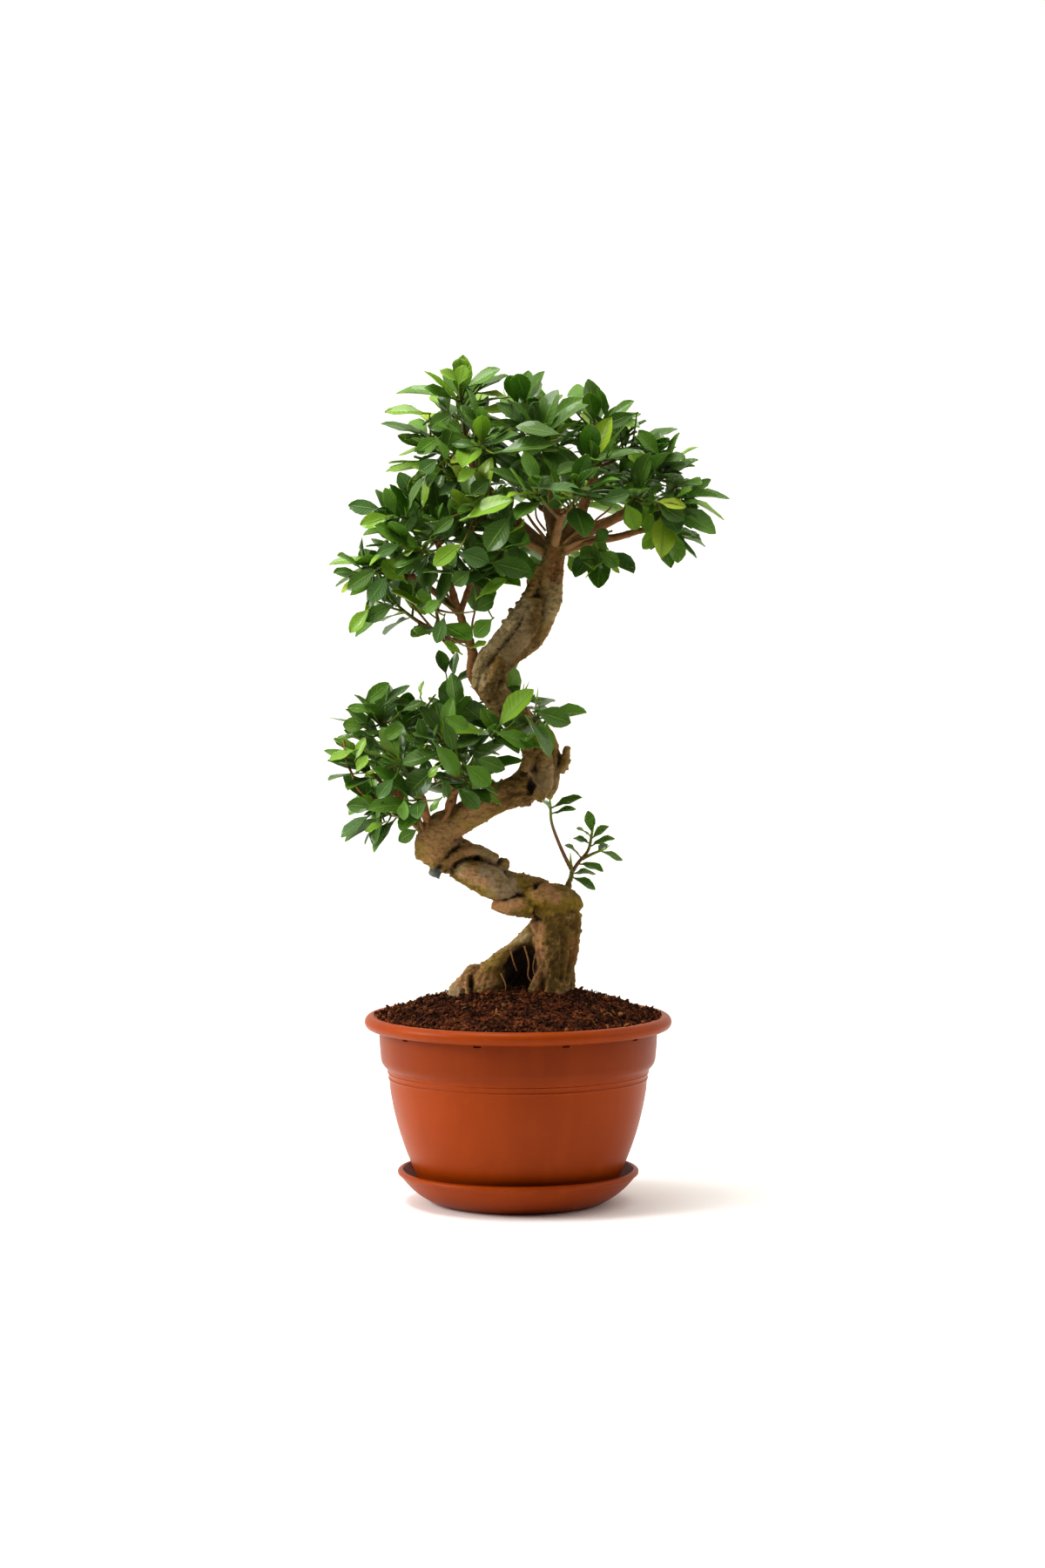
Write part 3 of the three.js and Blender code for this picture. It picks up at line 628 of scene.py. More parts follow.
# %% The trunk's stations
RIGHT_LEG = [
    [28, 3, 138, 12], [29.5, 2, 160, 14], [30.5, 1, 180, 15], [31.5, 0, 198, 17.5], [32.5, -1, 216, 20],
    [30, -2, 232, 22],
]

LEFT_LEG = [
    [-42, 7, 138, 14], [-38, 7, 157, 18], [-30, 7, 174, 18.5], [-12, 5, 187, 15], [5, 3, 202, 13.5],
    [20, 0, 219, 13],
]

BACK_LEG = [[6, 19, 138, 7], [6, 18, 162, 9], [9, 14, 186, 10], [16, 7, 210, 11]]

TRUNK = [
    [32, -1, 224, 19], [30.5, -2, 237, 23.5], [21, -2, 245, 19.5], [6, -1, 249.5, 17.5], [-11, 3, 258, 16.5],
    [-27, 5, 267, 15.5], [-43, 4, 277, 16], [-58, 1, 284, 18.5], [-66, -3, 292, 19.5], [-63, -6, 303, 16],
    [-50, -7, 311, 12.5], [-32, -6, 321, 12], [-13, -3, 332, 12], [4, -1, 337.5, 14], [16, 1, 346, 16.5],
    [19, 3, 361, 15.5], [14, 4, 376, 14.5], [3, 3, 390, 13.5], [-10, 1, 403, 12.5], [-20, -1, 415, 12.5],
    [-24, -2, 427, 13], [-19, -1, 438, 13.5], [-11, 1, 447, 14.5], [-2, 2, 457, 15.5], [8, 2, 469, 16.5],
    [17, 1, 482, 16.5], [22.5, 0, 495, 14], [26, 0, 509, 12], [28, 0, 522, 10], [29, 0, 535, 10],
    [30, 0, 543, 7],
]

BROKEN_STUB = [[20, 0, 356, 9], [30, -2, 362, 7], [39, -3, 370, 3.5]]

KNOT = [[-16, 0, 268, 8], [-13, -1, 276, 6], [-12, -1, 280, 3]]

SPROUT_FOOT = [[38, -1, 248, 4], [41.9, -1, 261.7, 2.1]]

LEGS = [RIGHT_LEG, LEFT_LEG, BACK_LEG]
print(len(TRUNK), "trunk stations")

# %% [markdown]
# The foot of this tree is several roots that have grown together, and their swellings catch the light. Each
# one is a thick strand laid on the core, and where two strands meet there is a crease with painted shade.

# %% Strands that stand out of the trunk
STRANDS = [
    # the grey front strand, from the cut stub down to where the lower lobe covers it
    [(-56, -4, 276, 7), (-47, -6, 272.5, 9.5), (-34.5, -8, 267.6, 12), (-23, -8, 262, 13),
     (-13, -8, 256.5, 11.5), (-6, -7, 252, 9), (1, -4, 248, 5)],
    # the ridge that loops over it, from the cut stub to the dark knot
    [(-62, -14, 271, 4), (-59, -14, 276, 4.5), (-53, -13, 281.5, 5), (-44, -10, 286, 5.5), (-34, -8, 287, 5),
     (-26, -6, 283.5, 4.5), (-18, -4, 279, 4)],
    # the lobe behind the knee's top
    [(-14, -3, 266, 5), (-7, -4, 262.5, 7.5), (3, -5, 261, 7.5), (13, -5, 259.5, 6.5), (24, -4, 257, 5)],
    # the knee's own block, down to its right end
    [(5, -9, 249, 5.5), (13, -12, 250.5, 9), (24, -12, 250, 11.5), (34, -9, 247, 12.5), (42, -5, 242, 11),
     (45, -3, 237, 8)],
    # the lower lobe, which wraps the knee's left end
    [(-20, -7, 244, 3.5), (-15, -9, 242, 4.8), (-7, -12, 242.3, 7.3), (3, -13, 242.3, 8.6), (12, -13, 240, 8)],
    # the bulb at the left turn, with its lumps
    [(-58, -6, 304, 9), (-66, -7, 301, 12), (-70, -6, 292, 14), (-71, -6, 284, 10), (-70, -8, 277, 6)],
    [(-76, -5, 293, 8), (-77, -5, 285, 6.5), (-77, -5, 280, 4.5)],
    # the right leg: its left edge, its front, its right edge
    [(13, -5, 228, 5), (17, -7, 214, 6), (20.5, -7, 198, 6), (21, -6, 182, 5.5), (17, -8, 168, 6)],
    [(25, -8, 232, 9), (26, -9, 216, 10.5), (27, -9, 200, 9.5), (27, -7, 184, 8.5), (27, -8, 168, 9)],
    [(38, -6, 230, 8), (38, -7, 214, 8), (36.5, -6, 200, 7.5), (34.5, -5, 184, 6.5), (33.5, -6, 168, 7)],
    [(44, -4, 243, 5), (47, -6, 229, 4.6), (45.6, -7, 214, 3.8), (43.5, -7, 200, 3.8), (40, -6, 187, 3.6),
     (37.5, -5, 172, 4)],
    # the stub of a dead twig on its right side
    [(46, -6, 219, 2), (51, -7, 223, 1.2)],
    # the left leg: its knot, its heel and the thin root that runs down from the knot
    [(-41, -2, 184, 5.5), (-37.5, -4, 188.5, 5), (-32, -4, 189.5, 5)],
    [(-38, 0, 184, 7), (-42, -1, 178, 9), (-46, -2, 170, 10.5), (-48, -5, 158, 12)],
    [(-41, -10, 186, 1.8), (-41.5, -13, 178, 1.8), (-40.5, -15, 170, 1.8), (-39, -17, 161, 2)],
    # the left leg's broad front, and the thin arch that it sends over the hollow to the knee
    [(-22, -2, 192, 9), (-25, -3, 182, 13.5), (-27, -4, 170, 15), (-28, -4, 158, 15)],
    [(-28, -3, 187, 7.5), (-19, -4, 194, 6.8), (-10, -4, 201.5, 6), (0, -4, 210.5, 5.4), (8, -4, 218, 5.6),
     (16, -4, 227, 6)],
    # behind, so the back is as rich as the front
    [(40, 12, 170, 6), (38, 14, 196, 8), (35, 15, 222, 10), (24, 15, 243, 10), (4, 15, 254, 9),
     (-18, 16, 265, 7)],
    [(24, 13, 176, 6), (25, 14, 200, 8), (22, 14, 226, 8), (8, 14, 242, 7), (-14, 15, 250, 5)],
    [(-42, 18, 162, 8), (-29, 15, 180, 8), (-12, 12, 198, 7), (4, 10, 210, 6)],
    [(-24, 14, 274, 8), (-42, 13, 284, 9), (-58, 8, 296, 10), (-52, 4, 308, 7)],
    # from the bulb up to the bend
    [(-57, -10, 305, 5), (-46, -10, 308, 6), (-33, -10, 316, 6.5), (-18, -9, 324, 6.5), (-4, -9, 329, 7),
     (9, -8, 331, 7)],
    [(-38, 4, 322, 6), (-20, 5, 332, 7), (-4, 6, 340, 7), (8, 9, 350, 8), (12, 12, 364, 7), (6, 12, 380, 6)],
    # the bend: upright strips
    [(22, -1, 331, 5), (26, 0, 340, 6.5), (27.5, 0, 352, 6.5), (28.5, 0, 364, 6), (25, 1, 376, 6),
     (17, 2, 389, 6)],
    [(14, -10, 330, 6), (20, -11, 341, 7), (21.5, -10, 353, 7), (20, -9, 366, 7), (15, -8, 379, 6.5),
     (6, -8, 391, 6)],
    [(6, -9, 352, 5), (9.5, -10, 363, 6.5), (6.5, -9, 377, 6.5), (-2, -9, 389, 6), (-12, -9, 401, 5.5),
     (-20, -8, 413, 5)],
    # the upper trunk: the pale left strand, the rough middle one, the smooth right one
    [(-32, -4, 420, 5), (-32, -5, 430, 6), (-28, -6, 441, 6.5), (-20, -7, 451, 6.5), (-12.5, -8, 461, 6.3),
     (-5, -8, 471, 6), (2, -8, 481, 5.5), (8, -8, 492, 5), (13, -7, 505, 4.3), (17, -6, 518, 4)],
    [(-21, -9, 424, 5.5), (-17, -11, 435, 6.5), (-9, -12, 445, 7.5), (0, -13, 455, 8), (8, -12, 466, 8),
     (13, -11, 479, 7), (15, -10, 492, 5)],
    [(-14, -6, 424, 5), (-13, -8, 434, 5.5), (-4, -9, 444, 6), (5, -10, 450.5, 6), (12, -10, 456, 6),
     (18.5, -9, 466, 6.3), (23.5, -8, 478, 7.2), (27.5, -6, 491, 8), (29, -5, 504, 7.3), (31, -4, 518, 6),
     (32, -3, 530, 5.5)],
    [(22, -8, 503, 4), (24, -9, 514, 5), (26, -8, 525, 5), (27, -6, 535, 5)],
    [(-26, 8, 424, 6), (-14, 11, 443, 7), (2, 12, 461, 8), (16, 11, 480, 8), (24, 8, 500, 7), (27, 6, 520, 5)],
    # loose bark along the upper trunk's left edge
    [(-8, -6, 467, 3.5), (-12, -6, 474, 1.6)], [(-3, -7, 474, 3.5), (-6.5, -7, 483, 1.6)],
    [(1, -7, 481, 3.5), (0, -7, 489, 1.6)], [(6, -7, 488, 3.2), (4, -7, 495.5, 1.4)],
    [(10, -7, 497, 3), (8.5, -7, 507, 1.5)],
    # roots that leave the legs at the soil
    [(18, -8, 190, 3.5), (15.5, -11, 182, 4.2), (12, -14, 172, 4), (8, -17, 163, 4)],
    [(31, -13, 180, 3.5), (32, -17, 166, 4)], [(24, -12, 190, 3), (26, -15, 178, 3.6), (23, -17, 166, 4)],
    # the back wall of the hollow between the legs
    [(-14, 12, 140, 10), (-11, 12, 165, 10.5), (-4, 11, 188, 10), (8, 8, 206, 9)],
    [(10, 14, 140, 10), (10, 13, 170, 10), (14, 9, 200, 9)],
]
CUT_END = [(-62, -8, 281, 7), (-66, -11, 273, 5.5), (-68.5, -13, 267.5, 4.6)]
BROKEN_TIP = [(33, -2, 352, 4), (37, -3, 357, 3.6), (38.5, -3, 364, 3), (40, -3, 371, 2.2)]

# what is left of the stations' radii once the strands stand out of them
CORE_SHARES = [
    0.8, 0.8, 0.78, 0.76, 0.76, 0.78, 0.8, 0.86, 0.88, 0.95, 0.95, 0.95, 0.95, 0.93, 0.86, 0.84, 0.86, 0.88,
    0.92, 0.92, 0.84, 0.82, 0.8, 0.8, 0.8, 0.82, 0.84, 0.86, 0.9, 0.95, 0.95,
]
RIGHT_CORE = [(29, 3, 138, 12), (29, 2, 165, 12), (30, 2, 180, 11.5), (31.5, 1, 198, 13), (32, 0, 216, 15),
              (30, -2, 232, 17)]
LEFT_CORE = [(-44, 6, 140, 14), (-38, 4, 162, 15.5), (-30, 4, 173, 15), (-18, 5, 184, 13), (-6, 8, 196, 11),
             (6, 7, 207, 11), (18, 1, 219, 12)]


def trunk_core():
    shape = bmesh.new()
    for stations in (RIGHT_CORE, LEFT_CORE, BACK_LEG):
        pour(shape, stem(SmoothWay(stations), lambda s, t, row=stations: station_radius(row, s), 20, 30))
    core = [(*spot[:3], spot[3] * share) for spot, share in zip(TRUNK, CORE_SHARES)]
    pour(shape, stem(SmoothWay(core), lambda s, t: station_radius(core, s), 28, 150))
    for stations in STRANDS + [BROKEN_TIP, CUT_END, KNOT, SPROUT_FOOT]:
        rings = 6 * (len(stations) - 1)
        pour(shape, stem(SmoothWay(stations), lambda s, t, row=stations: station_radius(row, s), 14, rings))
    return shape


print(len(STRANDS), "strands stand out of the trunk")

# %% [markdown]
# One skin is drawn over all these tubes with a voxel remesh. It is then relaxed a little, so the strands melt
# into each other, and carved: each point moves along its normal by a few layers of noise, some stretched
# along the grain. How deep a point ends up is stored as painted shade for the bark's colour.

# %% The trunk's skin
TRUNK_VOXEL = 1.15 * MM


def skinned(shape, voxel):
    bmesh.ops.scale(shape, vec=(MM, MM, MM), verts=shape.verts)
    core = placed("core", as_mesh("core", shape))
    remesh = core.modifiers.new("skin", "REMESH")
    remesh.mode = "VOXEL"
    remesh.voxel_size = voxel
    result = with_modifiers(core)
    bmesh.ops.scale(result, vec=(1 / MM, 1 / MM, 1 / MM), verts=result.verts)
    return result


def grain_points(stations, count):
    way = SmoothWay(stations)
    return [(way.point(k / count), way.heading(k / count)) for k in range(count + 1)]


GRAIN = sum((grain_points(rows, 40) for rows in LEGS), []) + grain_points(TRUNK, 220)
print(len(GRAIN), "points give the grain")

# %% [markdown]
# The bark's marks are written as they are seen from the front: hollows and creases along the seams of the
# strands, both with painted shade, and patches of other bark, the dark ones partly painted shade. Each is a few
# numbers, so a mark is easily moved or softened.

# %% Hollows, creases and patches
HOLLOWS = [
    # the middle of each, its half sizes, how deep it sinks and how much painted shade it gets
    ((2, -4, 189), (17, 17, 27), 2.0, 1.5),
    ((-10, -12, 203), (7, 9, 6), 1.5, 0.5),
    ((9.5, -13, 341), (5, 9, 9), 5.5, 1.15),
    ((8, -11, 332), (6, 7, 5), 1.0, 0.6),
    ((14.5, -14, 258), (4, 7, 4.5), 3.0, 1.2),
    ((-56, -14, 270), (5, 8, 4), 2.0, 1.0),
    ((-63, -13, 274.5), (5, 8, 4.5), 2.5, 1.2),
    ((-36, -6, 192), (5, 9, 3), 0, 0.6),
    ((-14, -5, 277), (4, 9, 4), 0, 0.8),
    ((28, -12, 517), (5, 6, 14), 1.8, 0.4),
    ((11, -13, 240), (4, 9, 4), 1.0, 0.7),
]
CREASES = [
    # half width, depth and painted shade, and the line as it is seen from the front
    (2.0, 2.2, 0.7, [(-12, 274), (-9, 265), (-5, 258), (-1, 253)]),
    (2.0, 2.0, 0.75, [(10, 252), (0, 252.5), (-8, 248.5), (-14, 247), (-21, 247.5)]),
    (2.6, 2.8, 0.85, [(-56, 269), (-52, 274), (-46, 280), (-38, 283), (-30, 282.5), (-23, 280)]),
    (2.8, 2.2, 0.8, [(-62, 276), (-57, 283), (-51, 289.5), (-44, 294)]),
    (2.4, 2.2, 0.75, [(7, 238), (14, 233), (22, 232), (30, 234.5), (38, 236), (47, 238)]),
    (2.0, 1.0, 0.6, [(9, 252), (10, 246), (8, 238)]),
    (1.8, 1.2, 0.8, [(15, 260), (20, 262.5), (28, 260.5)]),
    (2.2, 1.6, 0.8, [(8, 227), (12, 219), (13, 209), (13, 196)]),
    (1.8, 0.8, 0.4, [(21, 230), (21.5, 215), (21, 203), (21.5, 190)]),
    (2.0, 1.6, 0.8, [(43.5, 232), (42, 216), (42, 202), (40, 188)]),
    (1.8, 1.0, 0.6, [(34, 226), (37, 220), (38, 228)]),
    (1.6, 0.8, 0.3, [(-44, 184), (-42.5, 175), (-40.5, 164)]),
    (1.6, 0.6, 0.35, [(-38.5, 186), (-38.5, 175), (-36, 164)]),
    (1.8, 0.9, 0.5, [(-70, 302), (-63, 298), (-58, 291), (-58, 282)]),
    (1.6, 0.8, 0.5, [(-76, 290), (-72, 283), (-74, 277)]),
    (1.8, 0.7, 0.4, [(-46, 306), (-49, 298), (-53, 290)]),
    (2.0, 1.5, 0.8, [(17, 373), (17, 363), (19, 357), (23, 356), (23.5, 366)]),
    (1.8, 1.2, 0.6, [(8, 352), (13, 356), (12, 364), (14, 373)]),
    (1.8, 1.2, 0.7, [(29.5, 358), (27, 350), (29, 346)]),
    (2.4, 2.0, 0.9, [(33, 371), (33, 361), (32, 352)]),
    (2.2, 1.6, 0.8, [(2, 353), (6, 347), (11, 342)]),
    (2.0, 1.4, 0.6, [(-2, 446), (6, 450.5), (12, 450.5), (17, 449)]),
    (2.6, 1.6, 0.3, [(10, 457), (9.5, 468), (12, 480), (16, 490), (18, 499)]),
    (2.0, 1.2, 0.45, [(15, 452), (20, 460), (22.5, 470), (19, 482)]),
    (2.2, 1.3, 0.45, [(-23, 449), (-24, 437), (-27, 424)]),
    (1.8, 0.9, 0.3, [(-14, 452), (-8, 459), (0, 466), (3, 478)]),
    (2.0, 1.2, 0.3, [(25, 487), (20, 495), (17, 507)]),
    (1.8, 1.2, 0.6, [(-12, 441), (-13, 428), (-18, 418)]),
    (1.8, 1.2, 0.6, [(23, 503), (22, 514), (24, 527)]),
    (1.8, 1.2, 0.6, [(34, 505), (33, 516), (31, 528)]),
]
PATCHES = [
    # the kind of bark, how strong it is, its half width, and its run as it is seen from the front
    ("pale", 1.0, 8, [(-34, 424), (-32, 436), (-27, 447), (-19, 455), (-11, 465), (3, 485)]),
    ("pale", 0.6, 7, [(24, 480), (29, 492), (30, 503)]),
    ("grey", 0.6, 7, [(-8, 446), (0, 456), (4, 468), (2, 482)]),
    ("pale", 0.9, 6, [(-44, 272), (-34, 266), (-27, 261), (-21, 255)]),
    ("pink", 0.8, 6, [(-40, 269), (-33, 268), (-25, 262)]),
    ("grey", 1.0, 9, [(-22, 272), (-14, 264), (-8, 256)]),
    ("moss", 0.6, 5, [(-44, 261), (-33, 257), (-24, 252)]),
    ("pink", 1.0, 6, [(-18, 242), (-8, 244), (-1, 248)]),
    ("moss", 0.6, 9, [(4, 246), (14, 242), (26, 241), (36, 243), (44, 242)]),
    ("pink", 0.8, 6, [(18, 254), (25, 255), (30, 250)]), ("moss", 0.5, 7, [(-8, 264), (2, 260), (10, 257)]),
    ("pink", 0.8, 5, [(15, 228), (17, 215), (17.5, 204), (17.5, 190)]),
    ("moss", 0.35, 9, [(31, 224), (29, 200), (30, 185)]),
    ("pink", 0.5, 9, [(-35, 187), (-29, 180), (-24, 178)]),
    ("moss", 0.45, 5, [(-26, 194), (-19, 196), (-14, 202)]), ("moss", 0.4, 5, [(-34, 172), (-22, 171)]),
    ("pink", 1.0, 6, [(-47, 182), (-45, 175)]), ("grey", 0.8, 6, [(-53, 172), (-47, 166)]),
    ("pale", 0.7, 5, [(-2, 216), (6, 217)]), ("pink", 0.9, 2, [(-43, 183), (-41, 174), (-38.5, 163)]),
    ("pink", 0.6, 5, [(14, 184), (19, 182)]), ("pink", 0.55, 9, [(-72, 300), (-66, 293), (-67, 284)]),
    ("moss", 0.5, 5, [(-78, 290), (-76, 282), (-71, 278)]),
    ("pink", 0.5, 8, [(-60, 306), (-52, 304), (-50, 298)]),
    ("moss", 0.4, 6, [(-47, 306), (-30, 314), (-14, 320)]),
    ("pink", 0.6, 3.5, [(-56, 278), (-48, 285), (-38, 288)]), ("grey", 0.5, 4, [(-34, 289), (-25, 285)]),
    ("pink", 0.5, 7, [(-40, 318), (-22, 326), (-8, 334)]),
    ("grey", 0.5, 9, [(14, 350), (22, 344), (26, 352)]),
    ("torn", 0.8, 4, [(28, 505), (28, 515), (30, 530)]), ("torn", 0.7, 3, [(36, 506), (36, 520)]),
    ("torn", 0.7, 4, [(2, 332), (6, 327)]), ("torn", 0.6, 3, [(46, 215), (44, 198)]),
    # the dark patches are painted shade under the forms and on their shaded sides, together with the darker
    # bark there
    ("dark", 0.8, 9, [(32, 228), (30, 208), (29, 184)]), ("dark", 0.7, 5, [(42, 236), (46, 228)]),
    ("dark", 0.7, 5, [(1, 325), (12, 324)]), ("dark", 0.5, 5, [(12, 368), (14, 356)]),
    ("dark", 0.5, 6, [(-24, 415), (-16, 425), (-10, 436)]),
    ("dark", 0.5, 5, [(14, 456), (14, 470), (18, 482)]), ("dark", 0.5, 6, [(-4, 334), (-16, 326)]),
    ("dark", 0.6, 5, [(-34, 173), (-22, 171), (-14, 174)]), ("cut", 1.4, 4.5, [(-69.5, 266.5), (-67, 269)]),
]
print(len(HOLLOWS), "hollows,", len(CREASES), "creases and", len(PATCHES), "patches")

# %% [markdown]
# A mark acts on all points near it. It is strongest in the middle of its run, is gone at its half width, and
# works only on faces that look forwards.

# %% How near a mark is
def hollows_at(spots):
    """How far the hollows sink each spot, and how much painted shade they give it."""
    sink, shade = np.zeros(len(spots)), np.zeros(len(spots))
    for middle, size, depth, dark in HOLLOWS:
        near = np.maximum(1 - (((spots - middle) / size) ** 2).sum(axis=1), 0)
        sink += depth * near
        shade = np.maximum(shade, near * dark)
    return sink, shade


def near_run(spots, run, width):
    """One on a run as it is seen from the front, falling to nothing at its half width."""
    way = SmoothWay([(x, 0, z) for x, z in run])
    points = [way.point(k / 20)[[0, 2]] for k in range(21)]
    flat, far = spots[:, [0, 2]], np.full(len(spots), 1e9)
    for start, end in zip(points, points[1:]):
        share = np.clip((flat - start) @ (end - start) / max((end - start) @ (end - start), 1e-6), 0, 1)
        far = np.minimum(far, np.linalg.norm(flat - start - np.outer(share, end - start), axis=1))
    return np.clip(1 - far / width, 0, 1)


def creases_at(spots, facing):
    sink, shade = np.zeros(len(spots)), np.zeros(len(spots))
    for width, depth, dark, run in CREASES:
        near = near_run(spots, run, width) * facing
        sink = np.maximum(sink, near * depth)
        shade = np.maximum(shade, near * dark)
    return sink, shade


def patches_at(kind, spots, facing):
    """How strongly each spot shows one kind of bark."""
    value = np.zeros(len(spots))
    for name, strength, width, run in PATCHES:
        if name == kind:
            value = np.maximum(value, strength * np.minimum(near_run(spots, run, width * 1.3) * 2, 1) * facing)
    return value


print("marks can be measured")

# %% [markdown]
# Carving relaxes the skin in three steps and compares them: where the relaxed skin lies higher, there was a
# crease. Each point then moves along its normal, and stores its painted shade, darkest in the creases and
# valleys, and its kinds of bark. The back, which the photograph does not show, gets its patches from noise.

# %% Carving
def relaxed(shape, rounds):
    for _ in range(rounds):
        bmesh.ops.smooth_vert(shape, verts=shape.verts, factor=0.5, use_axis_x=True, use_axis_y=True,
                              use_axis_z=True)
    return np.array([vert.co for vert in shape.verts])


BARK_KINDS = ("pale", "torn", "cut", "moss", "pink", "grey", "dark")
BACK_BARK = {"pale": (0.6, 1), "pink": (0.6, 12), "grey": (0.8, 25), "dark": (0.7, 37), "moss": (0.4, 48)}


def carve(shape):
    """Moves each point along its normal, and stores its painted shade, from how deep it lies, and what bark it
    has.
    """
    for name in ("shade_and_tone", "young", "streak", *BARK_KINDS):
        shape.verts.layers.float.new(name)
    layers = shape.verts.layers.float
    before = relaxed(shape, 0)
    lightly = relaxed(shape, 2)
    smooth = relaxed(shape, 5)
    broad = relaxed(shape, 16)
    shape.normal_update()
    normals = np.array([vert.normal for vert in shape.verts])
    crease = np.clip(((smooth - before) * normals).sum(axis=1), -0.4, 2)
    valley = np.clip(((broad - smooth) * normals).sum(axis=1), -1, 2)
    middles = np.array([spot for spot, _ in GRAIN])
    headings = np.array([along for _, along in GRAIN])
    nearest = np.concatenate([((part[:, None, :] - middles[None]) ** 2).sum(axis=2).argmin(axis=1)
                              for part in np.array_split(smooth, 60)])
    facing = np.clip(0.35 - 1.6 * normals[:, 1], 0, 1)
    bend = np.array([noise.noise_vector(Vector(spot) * 0.16) for spot in lightly])
    sinks, shades = hollows_at(lightly + 2.5 * bend)
    lines, darks = creases_at(lightly + 1.6 * bend, facing)
    barks = {kind: patches_at(kind, lightly + 3.5 * bend, facing) for kind in BARK_KINDS}
    away = np.clip(1.6 * normals[:, 1] - 0.2, 0, 1)
    for k, vert in enumerate(shape.verts):
        vert.co = lightly[k]
        along = Vector(headings[nearest[k]])
        grain = vert.co - along * vert.co.dot(along) * 0.78
        wide = noise.fractal(vert.co * 0.055, 1.0, 2.0, 3)
        ridge = noise.fractal(grain * 0.21 + Vector((7, 3, 1)), 0.8, 2.1, 3)
        streak = noise.fractal(grain * 0.42 + Vector((2, 8, 5)), 0.6, 2.1, 3)
        crack = 1 - min(abs(noise.noise(grain * 0.16 + Vector((1, 9, 4)))) * 9, 1)
        wart = max(noise.noise(vert.co * 0.42 + Vector((5, 5, 8))) - 0.42, 0)
        rough = noise.fractal(vert.co * 0.6, 0.7, 2.2, 3)
        split = crack * (wide < 0.05)
        lift = 0.8 * wide + 0.7 * ridge - 0.8 * split + 3.5 * wart + 0.3 * rough + 0.25 * streak
        vert.co += vert.normal * (lift - sinks[k] - 0.5 * lines[k] - 1.3 * crease[k] - 0.6 * valley[k])
        # painted shade: darker in the creases, valleys and cracks of the skin, a little lighter on its ridges
        dark = 0.05 + 0.75 * crease[k] + 0.45 * valley[k] + 0.15 * split - 0.15 * ridge - 0.1 * wide
        vert[layers["shade_and_tone"]] = min(max(dark + 0.62 * darks[k] * (1 + 0.3 * rough), shades[k], 0), 1)
        vert[layers["streak"]] = 0.5 + 0.5 * streak
        behind = {kind: 0.0 for kind in BARK_KINDS}
        for kind, (strength, seed) in BACK_BARK.items():
            cloud = noise.fractal(grain * 0.075 + Vector((seed, 3, 8)), 0.9, 2.0, 3)
            behind[kind] = strength * away[k] * min(max(3.5 * cloud - 0.2, 0), 1)
        for kind, value in barks.items():
            shown = max(value[k], behind[kind])
            vert[layers[kind]] = min(max(shown * (1 + 0.6 * streak - 0.3 * rough), 0), 1)
    return shape


trunk_shape = carve(skinned(trunk_core(), TRUNK_VOXEL))
print(len(trunk_shape.verts), "points on the trunk")

# %% [markdown]
# The soil is one closed turned shape that fills the pot and mounds up round the legs. Its top is pushed up
# and down by noise, in lumps and then in crumbs, and it stays just below the height of the mound's solid.

# %% Soil
SOIL_EDGE = 150.6
SOIL_MOUND = 24
SOIL_RADIUS = 110.5
SOIL_RINGS = 62
SOIL_STEPS = 170
SOIL_SINK = 1.2
SOIL_TOP = 146


def mound_height(radius):
    share = min(radius / (POT_RADIUS - 16), 1)
    return SOIL_EDGE + SOIL_MOUND * (1 - share * share) ** 0.8


def lump(x, y):
    """How far the soil rises or sinks here."""
    spot = Vector((x, y, 0))
    coarse = noise.fractal(spot * 0.045, 1.0, 2.0, 2)
    fine = noise.fractal(spot * 0.22 + Vector((4, 1, 2)), 0.7, 2.1, 4)
    return 1.9 * coarse + 2.2 * fine


def soil_shape():
    outline = [(0, POT_BASE + POT_FLOOR + GAP), (63, POT_BASE + POT_FLOOR + GAP)]
    outline += [(81, 26), (95, 62), (100.9, 94), (102, 101), (106.9, 112)]
    outline += [(SOIL_RADIUS, 136), (SOIL_RADIUS, 143)]
    outline += [(SOIL_RADIUS * k / SOIL_RINGS, SOIL_TOP) for k in range(SOIL_RINGS, -1, -1)]
    shape = turned(outline, SOIL_STEPS)
    for vert in shape.verts:
        if vert.co.z > 140:
            radius = math.hypot(vert.co.x, vert.co.y)
            vert.co.z = mound_height(radius) - SOIL_SINK + lump(vert.co.x, vert.co.y)
    shape.verts.layers.float.new("tone")
    return shape


show("soil_mound", soil_shape(), SOIL, "potting_soil", "soil")
print("soil", TRIANGLES["soil_mound"], "triangles")

# %% [markdown]
# Crumbs and short fibres lie loose on the mound. A crumb is a small squashed ball of twenty faces, a fibre a
# thin three-sided tube that lies on the lumps and bends. Their places come from one seeded draw, and each has
# a tone.

# %% Crumbs and fibres
CRUMBS = 1500
SPILT = 1000
FIBRES = 2300
LITTER_RADIUS = 109
draw = np.random.default_rng(7)


def on_mound(room):
    """A random spot on the mound, clear of the legs."""
    while True:
        radius, turn = LITTER_RADIUS * math.sqrt(draw.random()), draw.random() * 2 * math.pi
        x, y = radius * math.cos(turn), radius * math.sin(turn)
        clear = all(math.hypot(x - leg[1][0], y - leg[1][1]) > leg[1][3] + room for leg in LEGS)
        if clear:
            return np.array([x, y, mound_height(radius) - SOIL_SINK + lump(x, y)])


def on_rim():
    """A spot on the rim's flat inner edge, where some soil has spilt."""
    radius, turn = draw.uniform(108.5, 116.5), draw.random() * 2 * math.pi
    height = np.interp(radius, [110, 113.6, 118.5], [151.4, 152.4, 153.1])
    return np.array([radius * math.cos(turn), radius * math.sin(turn), height])


def copies(mesh, count):
    """A shape that holds a mesh this many times over, one copy after another."""
    shape = bmesh.new()
    for _ in range(count):
        shape.from_mesh(mesh)
    return shape


